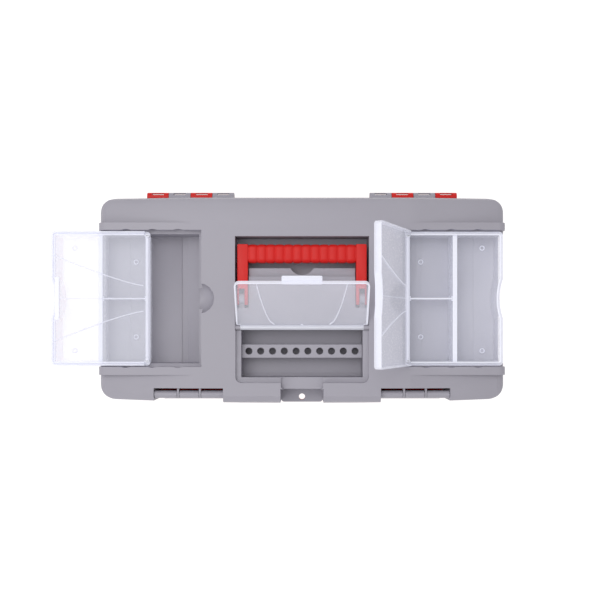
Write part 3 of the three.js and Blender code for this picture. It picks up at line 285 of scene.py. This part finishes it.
steel = drawn_steel()
steel_names = [name for name in frame["nodes"] if name.endswith("_rod") or "_pin_" in name]
for name in steel_names:
    frame["nodes"][name].data.materials.clear()
    frame["nodes"][name].data.materials.append(steel)
print("steel pieces:", len(steel_names))

# %% [markdown]
# ## Softened edges on the big mouldings
# A mould is milled with small radii, and the melt never fills a knife edge, so every edge of the case, lid,
# tray and latches is slightly round. Remodelling these mouldings would risk their fits. So a copy of each
# solid has its loose triangles welded and its flat faces cleaned, and stands for the solid. A Bevel modifier
# rounds its edges by up to half a millimetre; where a moulding has very short edges, it rounds them by less.

# %% Softened mouldings
BODY_OF = {name: body for body, names in frame["record"]["behaviour"]["bodies"].items() for name in names}


EDGE_RADIUS = 0.5 * MM
WELD = 0.02 * MM                 # closer points are one; a shorter edge would leave the rounding no width
FLAT = 0.6                       # degrees between faces that count as one flat face
SHARP = 28.0                     # degrees from which an edge is rounded


def softened(name, paint):
    """A welded copy of a solid whose edges over the angle SHARP are rounded, in place of the solid."""
    copy = bpy.data.objects.new(name + "_moulding", frame["nodes"][name].data.copy())
    work = bmesh.new()
    work.from_mesh(copy.data)
    bmesh.ops.remove_doubles(work, verts=work.verts, dist=WELD)
    bmesh.ops.dissolve_degenerate(work, edges=work.edges, dist=WELD)
    bmesh.ops.dissolve_limit(work, angle_limit=math.radians(FLAT), verts=work.verts, edges=work.edges)
    work.to_mesh(copy.data)
    work.free()
    copy.data.materials.clear()
    copy.data.materials.append(paint)
    copy.data.shade_smooth()
    copy.data.set_sharp_from_angle(angle=math.radians(SHARP))
    scene.collection.objects.link(copy)
    rounding = copy.modifiers.new("rounding", "BEVEL")
    rounding.width = EDGE_RADIUS
    rounding.segments = 2
    rounding.limit_method = "ANGLE"
    rounding.angle_limit = math.radians(SHARP)
    rounding.harden_normals = True
    rounding.use_clamp_overlap = True
    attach(copy, BODY_OF[name])
    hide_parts(name)
    print(copy.name, len(copy.data.polygons), "faces")
    return copy


for name in ("lid_shell", "bit_rack", "latch_left", "latch_right"):
    softened(name, grey_plastic)
softened("case_body", red_plastic)
for name in ("tray", "tray_spine"):
    softened(name, tray_plastic)

# %% [markdown]
# ## Lofted mouldings
# A moulded box, lid or handle can be boxes with bevels, or a hand-pushed mesh. Here it is a loft, because a
# moulding really is one outline that steps in and out as it rises: every ring of the surface is the plan
# outline, drawn in by some amount, at some height. Following the section from the middle of the underside,
# outwards, up, and back in over the top gives one closed skin whose faces all point outwards.

# %% Lofts and tubes
def arc(x, y, radius, start, end, count=7):
    """Points on a circle: (x, y) + radius * (cos a, sin a), with a going from start to end in degrees."""
    angle = np.radians(np.linspace(start, end, count))
    return np.stack([x + radius * np.cos(angle), y + radius * np.sin(angle)], axis=1)


def run(start, end, count=12):
    """Evenly spaced points strictly between two corners."""
    share = np.linspace(0.0, 1.0, count + 2)[1:-1, None]
    return np.array(start) * (1.0 - share) + np.array(end) * share


def rounded_plan(x0, x1, y0, y1, radius):
    """A rounded rectangle, anticlockwise: four quarter arcs joined by straight runs."""
    a, b, c, d = x0 + radius, x1 - radius, y0 + radius, y1 - radius
    return np.concatenate([
        arc(b, c, radius, -90, 0), run((x1, c), (x1, d)), arc(b, d, radius, 0, 90), run((b, y1), (a, y1), 20),
        arc(a, d, radius, 90, 180), run((x0, d), (x0, c)), arc(a, c, radius, 180, 270),
        run((a, y0), (b, y0), 20)])


def drawn_in(plan, inset):
    """Each point moves inwards along its corner's bisector, far enough that both its sides move by inset."""
    before = plan - np.roll(plan, 1, axis=0)
    after = np.roll(plan, -1, axis=0) - plan
    normals = [np.stack([-edge[:, 1], edge[:, 0]], axis=1) / np.linalg.norm(edge, axis=1)[:, None]
               for edge in (before, after)]
    bisector = normals[0] + normals[1]
    return plan + inset * 2.0 * bisector / np.sum(bisector ** 2, axis=1)[:, None]


def lofted(plan, section):
    """Rings of a closed skin: for each (inset, height) of the section, plan(inset) at that height."""
    rings = [plan(inset) for inset, _ in section]
    return np.stack([np.column_stack([ring, np.full(len(ring), height)])
                     for ring, (_, height) in zip(rings, section)])


def quarter(inset, height, radius, start, end, count=4):
    """A rounded corner of a section, as (inset, height) steps round a quarter circle."""
    angle = np.radians(np.linspace(start, end, count))
    return [(inset - radius * math.cos(a), height + radius * math.sin(a)) for a in angle]


def tube(path, across, up, sides=10):
    """Rings of an elliptical tube: path + across * cos(a) * side + up * sin(a) * vertical."""
    forward = np.gradient(path, axis=0)
    forward /= np.linalg.norm(forward, axis=1)[:, None]
    side = np.cross(np.array([0.0, 0.0, 1.0]), forward)
    side /= np.linalg.norm(side, axis=1)[:, None]
    rise = np.cross(forward, side)
    angle = np.linspace(0.0, 2.0 * np.pi, sides, endpoint=False)[None, :, None]
    return (path[:, None] + across * np.cos(angle) * side[:, None] + up * np.sin(angle) * rise[:, None])


def ring_of(x, y, z, radius, thick, count=28):
    """Rings of a circular bead, whose last section meets its first."""
    turn = np.linspace(0.0, 2.0 * np.pi, count + 1)
    path = np.stack([x + radius * np.cos(turn), y + radius * np.sin(turn), np.full(count + 1, z)], axis=1)
    bead = tube(path, thick, thick, 8)
    joint = (bead[0] + bead[-1]) / 2.0
    bead[0] = joint
    return bead[:-1]


def skin(rings, closed=False, milk=0.0):
    """Quads between neighbouring rings, flat caps unless the ends meet, and each ring's share of milk."""
    count, around = rings.shape[:2]
    index = np.arange(count * around).reshape(count, around)
    near, far = (index, np.roll(index, -1, axis=0)) if closed else (index[:-1], index[1:])
    quads = np.stack([near, np.roll(near, -1, axis=1), np.roll(far, -1, axis=1), far], axis=-1)
    faces = quads.reshape(-1, 4).tolist()
    if not closed:
        faces += [index[0][::-1].tolist(), index[-1].tolist()]
    share = np.broadcast_to(np.reshape(milk, (-1, 1)), (count, around)).ravel()
    return rings.reshape(-1, 3), faces, share


def moulding(name, skins, paint, body, stands_for=(), sharp=32.0):
    """One object from several closed skins, which rides on a body and may stand for CAD solids."""
    points, faces, first = [], [], 0
    for vertices, cells, _ in skins:
        points.append(vertices)
        faces += [[first + corner for corner in cell] for cell in cells]
        first += len(vertices)
    mesh = bpy.data.meshes.new(name)
    mesh.from_pydata(np.concatenate(points).tolist(), [], faces)
    milk = mesh.attributes.new("milk", "FLOAT", "POINT")
    milk.data.foreach_set("value", np.concatenate([share for _, _, share in skins]).astype(np.float32))
    mesh.materials.append(paint)
    mesh.shade_smooth()
    mesh.set_sharp_from_angle(angle=math.radians(sharp))
    made = bpy.data.objects.new(name, mesh)
    scene.collection.objects.link(made)
    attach(made, body)
    if stands_for:
        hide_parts(*stands_for)
    print(name, len(faces), "faces")
    return made


print("a rounded rectangle has", len(rounded_plan(0, 1, 0, 1, 0.1)), "points")

# %% [markdown]
# ## Organiser boxes
# Each organiser is a thin tub with a hanging flange, a low hinge side and a shallow hollow in its outer end
# for a finger. Inside are a hollow cross wall, grooved ribs for a loose divider, and four little rings that
# the ejector pins leave on the floor. The tub is one loft. It is drawn once, with its hinge edge at zero, and
# put in its place by a half turn or a shift.

# %% Organiser sizes
right_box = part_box("organiser_box_right")
left_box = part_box("organiser_box_left")
left_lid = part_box("organiser_lid_left")
right_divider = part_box("organiser_divider_right")
TUB_LENGTH = right_box[1].x - right_box[0].x
TUB_HALF = (right_box[1].y - right_box[0].y) / 2
TUB_LOW = right_box[0].z
TUB_CORNER = 4 * MM
TUB_WALL = 1.8 * MM
FLANGE = 2.6 * MM
WALL_TOP = LID_TOP - 3 * MM
FLANGE_LOW = LID_TOP - 10.6 * MM
FLANGE_TOP = FLANGE_LOW + 2 * MM
LID_AXIS_X = 2 * MM
LID_PLATE = 1.6 * MM
LID_PLATE_TOP = left_lid[1].z
LID_AXIS_Z = LID_PLATE_TOP - 2.2 * MM
LID_BARREL = 1.9 * MM
HINGE_SIDE_TOP = LID_AXIS_Z - LID_BARREL - 0.4 * MM
EAR_REACH = TUB_HALF - 3.7 * MM
EAR_WIDTH = 3 * MM
FINGER_HALF = 20 * MM
FINGER_DEPTH = 3.3 * MM
CROSS_WALL_AT = 50.6 * MM
CROSS_SHEET = 1.3 * MM           # each of the two sheets of the hollow cross wall
DIVIDER_RIB_FROM = 1.0 * MM      # the ribs that hold the divider, from its middle line
DIVIDER_RIB_TO = 2.2 * MM
RING_RADIUS = 2.2 * MM
RINGS_AT = ((19.3 * MM, 39.4 * MM), (TUB_LENGTH - 16.3 * MM, 54 * MM))
ROOTED = 0.5 * MM                # how deep a wall or rib is sunk in the floor or wall it stands on
RIGHT_LID_OPEN = 114.0
print("tub:", round(TUB_LENGTH, 4), "by", round(2 * TUB_HALF, 4))

# %% Organiser plan and tub
def tub_plan(inset):
    """A rounded rectangle drawn in by inset, whose outer end bows in along a circle through its chord."""
    radius = TUB_CORNER - 0.6 * inset
    end, half = TUB_LENGTH - inset, TUB_HALF - inset
    bow = (FINGER_HALF ** 2 + FINGER_DEPTH ** 2) / (2 * FINGER_DEPTH) + inset
    middle = end + bow - FINGER_DEPTH
    reach = math.degrees(math.acos((bow - FINGER_DEPTH) / bow))
    chord = bow * math.sin(math.radians(reach))
    a, b, c = inset + radius, end - radius, half - radius
    return np.concatenate([
        arc(b, -c, radius, -90, 0), run((end, -c), (end, -chord)),
        arc(middle, 0, bow, 180 + reach, 180 - reach, 17),
        run((end, chord), (end, c)), arc(b, c, radius, 0, 90), run((b, half), (a, half), 40),
        arc(a, c, radius, 90, 180), run((inset, c), (inset, -c), 40), arc(a, -c, radius, 180, 270),
        run((a, -half), (b, -half), 40)])


def tub():
    """The tub's section: floor, wall, flange, rounded rim, then down inside, with its hinge side cut low."""
    inner = FLANGE + TUB_WALL
    half_wall = TUB_WALL / 2
    outside = [(FLANGE + 4 * MM, TUB_LOW), *quarter(FLANGE + 2 * MM, TUB_LOW + 2 * MM, 2 * MM, -90, 0),
               (FLANGE, FLANGE_LOW - 0.5 * MM)]
    rim = [(FLANGE, FLANGE_LOW), *quarter(0.5 * MM, FLANGE_LOW + 0.5 * MM, 0.5 * MM, -90, 0),
           *quarter(0.5 * MM, FLANGE_TOP - 0.5 * MM, 0.5 * MM, 0, 90), (FLANGE, FLANGE_TOP),
           *quarter(FLANGE + half_wall, WALL_TOP - half_wall, half_wall, 0, 180, 7)]
    inside = [(inner, WALL_TOP - 2 * MM), (inner, TUB_LOW + TUB_WALL + 2 * MM),
              *quarter(inner + 2 * MM, TUB_LOW + TUB_WALL + 2 * MM, 2 * MM, 0, -90)]
    rings = lofted(tub_plan, outside + rim + inside)
    low_side = rings[..., 0] < inner + 0.5 * MM
    rings[..., 2] = np.where(low_side, np.minimum(rings[..., 2], HINGE_SIDE_TOP), rings[..., 2])
    milk = [WALL_MILK] * len(outside) + [1.0] * len(rim) + [WALL_MILK] * len(inside)
    return skin(rings, milk=milk)


def block(x0, x1, y0, y1, z0, z1, radius=0.4 * MM):
    """A small moulded block: a rounded rectangle lofted straight up, its top and bottom edges rounded."""
    plan = lambda inset: rounded_plan(x0 + inset, x1 - inset, y0 + inset, y1 - inset, radius)
    edge = 0.6 * radius
    shoulder = z1 - min(1.5 * MM, 0.6 * (z1 - z0))
    section = [*quarter(edge, z0 + edge, edge, -90, 0, 3), (0, shoulder),
               *quarter(edge, z1 - edge, edge, 0, 90, 3)]
    return skin(lofted(plan, section), milk=[WALL_MILK] * 4 + [1.0] * 3)


def organiser_skins():
    """The tub with its cross wall, divider ribs, hinge ears and floor rings, hinge edge at x = 0."""
    inner = FLANGE + TUB_WALL
    floor_z = TUB_LOW + TUB_WALL
    wall_z = WALL_TOP - 3 * MM
    reach = TUB_HALF - FLANGE - 1 * MM
    skins = [tub()]
    for x in (CROSS_WALL_AT - 2.2 * MM, CROSS_WALL_AT + 0.9 * MM):
        skins.append(block(x, x + CROSS_SHEET, -reach, reach, floor_z - ROOTED, wall_z))
    skins.append(block(CROSS_WALL_AT - 1.2 * MM, CROSS_WALL_AT + 1.2 * MM, -reach, reach, wall_z - 1.2 * MM,
                       wall_z))
    for side in (-1, 1):
        low, high = sorted((side * DIVIDER_RIB_FROM, side * DIVIDER_RIB_TO))
        for x0, x1 in ((inner - ROOTED, inner + 1.2 * MM),
                       (CROSS_WALL_AT - 3.4 * MM, CROSS_WALL_AT - 2 * MM)):
            skins.append(block(x0, x1, low, high, floor_z - ROOTED, wall_z - 1 * MM))
        low, high = sorted((side * EAR_REACH, side * (EAR_REACH - EAR_WIDTH)))
        skins.append(block(LID_AXIS_X - LID_BARREL, inner, low, high, FLANGE_LOW + 1 * MM,
                           LID_AXIS_Z + LID_BARREL, 1.2 * MM))
        for x, y in RINGS_AT:
            bead = ring_of(x, side * y, floor_z + 0.2 * MM, RING_RADIUS, 0.5 * MM)
            skins.append(skin(bead, closed=True, milk=0.9))
    return skins


organiser = organiser_skins()
divider_ends = [right_divider[end].x - right_box[0].x for end in (0, 1)]
divider_half = (right_divider[1].y - right_divider[0].y) / 2
divider = block(*divider_ends, -divider_half, divider_half, right_divider[0].z, right_divider[1].z)
print("organiser skins:", len(organiser))

# %% Both organisers in place
def placed(skins, x, y, half_turn):
    """Skins shifted to (x, y), after a half turn about the vertical for the left one."""
    sign = -1.0 if half_turn else 1.0
    return [(points * (sign, sign, 1.0) + (x, y, 0.0), faces, milk) for points, faces, milk in skins]


TUB_Y = (right_box[0].y + right_box[1].y) / 2
PLACES = {"right": (right_box[0].x, TUB_Y, False), "left": (left_box[1].x, TUB_Y, True)}
for side_name, place in PLACES.items():
    rides_on = f"organiser_{side_name}"
    moulding(f"{rides_on}_tub", placed(organiser, *place), frosted_plastic, rides_on,
             [f"organiser_box_{side_name}"])
    moulding(f"{rides_on}_divider", placed([divider], *place), frosted_plastic, rides_on,
             [f"organiser_divider_{side_name}"])

# %% [markdown]
# ## Organiser lids
# A lid is a thin plate with a skirt on three sides and a hinge barrel on the fourth. Two raised lines fan out
# from the hinge to the ends of the finger grip, and a third runs down the middle; they stiffen the plate and
# catch the light. The plate is a loft, and each line is a half-sunk tube along its path.

# %% Organiser lid skins
LINE_HALF = 0.6 * MM
LINE_HEIGHT = 1.15 * MM          # half the height of a line, which stands out on both faces of its plate
FREE_SPREAD = 43.6 * MM          # how far a side line is from the middle at the lid's free edge
HINGE_SPREAD = 13 * MM
LINE_MILK = 0.65
LID_GRIP_HALF = 22 * MM


def turned_about_y(points, x, z, degrees):
    """Points turned about a line along Y through (x, z); a positive angle takes +X down."""
    c, s = math.cos(math.radians(degrees)), math.sin(math.radians(degrees))
    dx, dz = points[..., 0] - x, points[..., 2] - z
    return np.stack([x + c * dx + s * dz, points[..., 1], z - s * dx + c * dz], axis=-1)


def organiser_lid_skins():
    """Plate and skirt as one loft, a barrel with two pips, and three raised lines."""
    gap, wall = 0.3 * MM, 1.5 * MM
    under, skirt = LID_PLATE_TOP - LID_PLATE, FLANGE_TOP + 0.4 * MM
    edge = 0.7 * MM
    section = [(gap + wall + 0.6 * MM, under), (gap + wall, under - 0.6 * MM), (gap + wall, skirt),
               (gap, skirt),
               *quarter(gap + edge, LID_PLATE_TOP - edge, edge, 0, 90), (gap + wall, LID_PLATE_TOP),
               (gap + wall + 0.8 * MM, LID_PLATE_TOP)]
    milk = [0.0, *[0.7] * 7, 0.5, 0.0]
    rings = lofted(tub_plan, section)
    barrel_half = EAR_REACH - EAR_WIDTH - 0.3 * MM
    behind = np.where(np.abs(rings[..., 1]) > barrel_half, FLANGE + TUB_WALL + 0.4 * MM, LID_AXIS_X)
    hinge_side = rings[..., 0] < FLANGE + TUB_WALL + 0.3 * MM
    rings[..., 2] = np.where(hinge_side, np.maximum(rings[..., 2], under), rings[..., 2])
    rings[..., 0] = np.maximum(rings[..., 0], behind)
    axis = lambda reach: np.array([[LID_AXIS_X, -reach, LID_AXIS_Z], [LID_AXIS_X, reach, LID_AXIS_Z]])
    skins = [skin(rings, milk=milk), skin(tube(axis(barrel_half), LID_BARREL, LID_BARREL, 20), milk=0.6),
             skin(tube(axis(EAR_REACH - 0.3 * MM), 0.95 * MM, 0.95 * MM, 14), milk=0.6)]
    share = np.linspace(0.0, 1.0, 14)
    for side in (-1, 0, 1):
        x = 6 * MM + share * (TUB_LENGTH - 10 * MM - (0 if side else FINGER_DEPTH))
        spread = side * (HINGE_SPREAD + (FREE_SPREAD - HINGE_SPREAD) * share ** 1.25)
        path = np.stack([x, spread, np.full_like(x, LID_PLATE_TOP - LID_PLATE / 2)], axis=1)
        skins.append(skin(tube(path, LINE_HALF if side else LINE_HALF / 2, LINE_HEIGHT), milk=LINE_MILK))
    grip = rounded_plan(TUB_LENGTH - 9 * MM, TUB_LENGTH - 4.4 * MM, -LID_GRIP_HALF, LID_GRIP_HALF,
                        2 * MM)
    skins.append(skin(lofted(lambda inset: drawn_in(grip, inset), [
        (0, LID_PLATE_TOP - LID_PLATE - 0.4 * MM), (0, LID_PLATE_TOP + 0.1 * MM),
        (0.4 * MM, LID_PLATE_TOP + 0.4 * MM)]), milk=0.95))
    return skins


lid_skins = organiser_lid_skins()
opened = [(turned_about_y(points, LID_AXIS_X, LID_AXIS_Z, -RIGHT_LID_OPEN), faces, milk)
          for points, faces, milk in lid_skins]
moulding("organiser_left_cover", placed(lid_skins, *PLACES["left"]), frosted_plastic, "organiser_lid_left",
         ["organiser_lid_left"])
moulding("organiser_right_cover", placed(opened, *PLACES["right"]), frosted_plastic, "organiser_lid_right",
         ["organiser_lid_right"])

# %% [markdown]
# ## Centre cover
# The bit bay's cover is the same kind of lid: a thin plate with a skirt, a finger tab and two raised lines
# that curve out from the hinge, with a small pip in the middle of its hinge edge. It could be modelled in
# the open position, but its plate would then be skew to every axis. So it is drawn shut and level, and turned
# open about its hinge.

# %% Centre cover
rod_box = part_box("cover_hinge_rod")
COVER_AXIS_Y = (rod_box[0].y + rod_box[1].y) / 2
COVER_AXIS_Z = (rod_box[0].z + rod_box[1].z) / 2
COVER_HALF = (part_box("centre_cover")[1].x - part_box("centre_cover")[0].x) / 2
COVER_TOP = COVER_AXIS_Z + 2.4 * MM
COVER_REACH = 55.8 * MM
COVER_OPEN = 143.0
COVER_BARREL = 2.4 * MM
COVER_CORNER = 5 * MM
TAB_HALF = 20 * MM
TAB_REACH = 6 * MM               # how far the finger tab stands out past the front edge
COVER_LINE_ROOT = 28             # mm from the middle, where a line leaves the hinge
COVER_LINE_SPREAD = 17           # mm further out at its free end


def turned_about_x(points, y, z, degrees):
    """Points turned about a line along X through (y, z); a positive angle takes +Y up."""
    c, s = math.cos(math.radians(degrees)), math.sin(math.radians(degrees))
    dy, dz = points[..., 1] - y, points[..., 2] - z
    return np.stack([points[..., 0], y + c * dy - s * dz, z + s * dy + c * dz], axis=-1)


def centre_cover_skins():
    """Plate and skirt as one loft, barrel, finger tab, two curved lines and the middle pip."""
    front = COVER_AXIS_Y - COVER_REACH
    under, skirt, wall, edge = COVER_TOP - 1.6 * MM, COVER_TOP - 4 * MM, 1.5 * MM, 0.7 * MM
    plan = lambda inset: rounded_plan(inset - COVER_HALF, COVER_HALF - inset, front + inset, COVER_AXIS_Y,
                                      COVER_CORNER - inset)
    rings = lofted(plan, [(wall + 0.6 * MM, under), (wall, under - 0.6 * MM), (wall, skirt), (0, skirt),
                          *quarter(edge, COVER_TOP - edge, edge, 0, 90), (wall, COVER_TOP),
                          (wall + 0.8 * MM, COVER_TOP)])
    corner = COVER_AXIS_Y - COVER_BARREL - 0.4 * MM
    barrel_half = COVER_HALF - 4.3 * MM
    rings[..., 2] = np.where(rings[..., 1] > corner - 2 * MM, np.maximum(rings[..., 2], under), rings[..., 2])
    beside = np.abs(rings[..., 0]) > barrel_half
    rings[..., 1] = np.where(beside, np.minimum(rings[..., 1], corner), rings[..., 1])
    barrel = np.array([[-barrel_half, COVER_AXIS_Y, COVER_AXIS_Z], [barrel_half, COVER_AXIS_Y, COVER_AXIS_Z]])
    tab = rounded_plan(-TAB_HALF, TAB_HALF, front - TAB_REACH, front + 4 * MM, 1.6 * MM)
    tab_section = [(0.3 * MM, under), (0, under + 0.3 * MM), (0, COVER_TOP - 0.5 * MM), (0.5 * MM, COVER_TOP)]
    skins = [skin(rings, milk=[0.27, *[0.9] * 7, 0.6, 0.27]),
             skin(tube(barrel, COVER_BARREL, COVER_BARREL, 20), milk=0.6),
             skin(lofted(lambda inset: drawn_in(tab, inset), tab_section), milk=0.9)]
    share = np.linspace(0.0, 1.0, 16)
    for side in (-1, 1):
        y = COVER_AXIS_Y - 3 * MM - share * (COVER_REACH - 6 * MM)
        x = side * (COVER_LINE_ROOT + COVER_LINE_SPREAD * share ** 0.55) * MM
        path = np.stack([x, y, np.full_like(y, COVER_TOP - 0.8 * MM)], axis=1)
        skins.append(skin(tube(path, LINE_HALF, LINE_HEIGHT), milk=LINE_MILK))
    pip = ring_of(0.0, COVER_AXIS_Y - 1.2 * MM, COVER_TOP, 0.9 * MM, 0.5 * MM, 14)
    skins.append(skin(pip, closed=True, milk=0.9))
    return skins


cover = [(turned_about_x(points, COVER_AXIS_Y, COVER_AXIS_Z, -COVER_OPEN), faces, milk)
         for points, faces, milk in centre_cover_skins()]
moulding("bay_cover", cover, frosted_plastic, "cover", ["centre_cover"])

# %% [markdown]
# ## Carry handle
# The handle is a stout red U. Its arms are forked round the lid's lugs and rounded at the pivots, and its
# grip has twelve crowned ribs with thin grooves between them. The grooves could be cut into one solid grip,
# but a boolean leaves long thin faces that shade badly. So each arm is a loft of a forked outline, and each
# rib is a sleeve round the grip that swells from one groove and falls to the next.

# %% Carry handle
handle_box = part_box("carry_handle")
pin_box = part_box("handle_pin_right")
HANDLE_HALF = handle_box[1].x
HANDLE_BACK = handle_box[1].y
HANDLE_TOP, HANDLE_LOW = handle_box[1].z, handle_box[0].z
PIVOT_Y = (pin_box[0].y + pin_box[1].y) / 2
PIVOT_Z = (pin_box[0].z + pin_box[1].z) / 2
PIVOT_R = (HANDLE_TOP - HANDLE_LOW) / 2
ARM = 10.8 * MM                  # width of an arm
ARM_CORNER = 1.5 * MM
GRIP = 19 * MM                   # width of the grip, front to back
GRIP_CORNER = 4 * MM
TINE = 1.9 * MM                  # thickness of a fork's outer tine
TINE_INNER = 3.4 * MM
FORK_ROOT = PIVOT_Y + 10.3 * MM
RIBS = 12
RIB_PITCH = 9.1 * MM
GROOVE = 0.8 * MM
CROWN = 0.1 * MM
RIB_SQUARENESS = 18              # power of the rib's profile: the higher, the flatter its back


def arm_plan():
    """The right arm's outline with its fork slot, anticlockwise from its inner foot."""
    inner, foot = HANDLE_HALF - ARM, PIVOT_Y - PIVOT_R
    slot_outer, slot_inner = HANDLE_HALF - TINE + 0.3 * MM, inner + TINE_INNER
    return np.array([
        (inner, foot), (slot_inner, foot), *run((slot_inner, foot), (slot_inner, FORK_ROOT), 14),
        (slot_inner, FORK_ROOT), (slot_outer, FORK_ROOT),
        *run((slot_outer, FORK_ROOT), (slot_outer, foot), 14), (slot_outer, foot),
        (HANDLE_HALF, foot), *run((HANDLE_HALF, foot), (HANDLE_HALF, FORK_ROOT), 14),
        *arc(HANDLE_HALF - ARM_CORNER, HANDLE_BACK - ARM_CORNER, ARM_CORNER, 0, 90, 9), (inner, HANDLE_BACK),
        *run((inner, FORK_ROOT), (inner, foot), 14)])


def sleeve(from_x, to_x, depths):
    """A sleeve round the grip: the grip's rounded section drawn in by each depth, carried along X."""
    middle_y, half_y = HANDLE_BACK - GRIP / 2, GRIP / 2
    loop = rounded_plan(middle_y - half_y, middle_y + half_y, HANDLE_LOW, HANDLE_TOP, GRIP_CORNER)
    loops = np.stack([drawn_in(loop, depth) for depth in depths])
    x = np.linspace(from_x, to_x, len(depths))
    return skin(np.concatenate([np.repeat(x[:, None, None], loops.shape[1], axis=1), loops], axis=2))


def handle_skins():
    """Two forked arms with feet held inside the pivots' circle, the grip's core, and twelve swelling ribs."""
    plan, edge = arm_plan(), 0.5 * MM
    section = [*quarter(edge, HANDLE_LOW + edge, edge, -90, 0),
               *quarter(edge, HANDLE_TOP - edge, edge, 0, 90)]
    rings = lofted(lambda inset: drawn_in(plan, inset), section)
    past = np.clip(PIVOT_Y - rings[..., 1], 0.0, PIVOT_R)
    room = np.sqrt(PIVOT_R ** 2 - past ** 2)
    rings[..., 2] = PIVOT_Z + np.clip(rings[..., 2] - PIVOT_Z, -room, room)
    mirrored = rings[:, ::-1] * (-1.0, 1.0, 1.0)
    reach = RIBS * RIB_PITCH / 2
    skins = [skin(rings), skin(mirrored), sleeve(-reach - 1 * MM, reach + 1 * MM, np.full(2, GROOVE))]
    share = np.array([-1.0, -0.93, -0.86, -0.6, 0.0, 0.6, 0.86, 0.93, 1.0])
    for index in range(RIBS):
        start = index * RIB_PITCH - reach
        depths = GROOVE * np.abs(share) ** RIB_SQUARENESS + CROWN * share ** 2
        skins.append(sleeve(start, start + RIB_PITCH, depths))
    return skins


moulding("handle_grip", handle_skins(), red_plastic, "handle", ["carry_handle"], sharp=40.0)
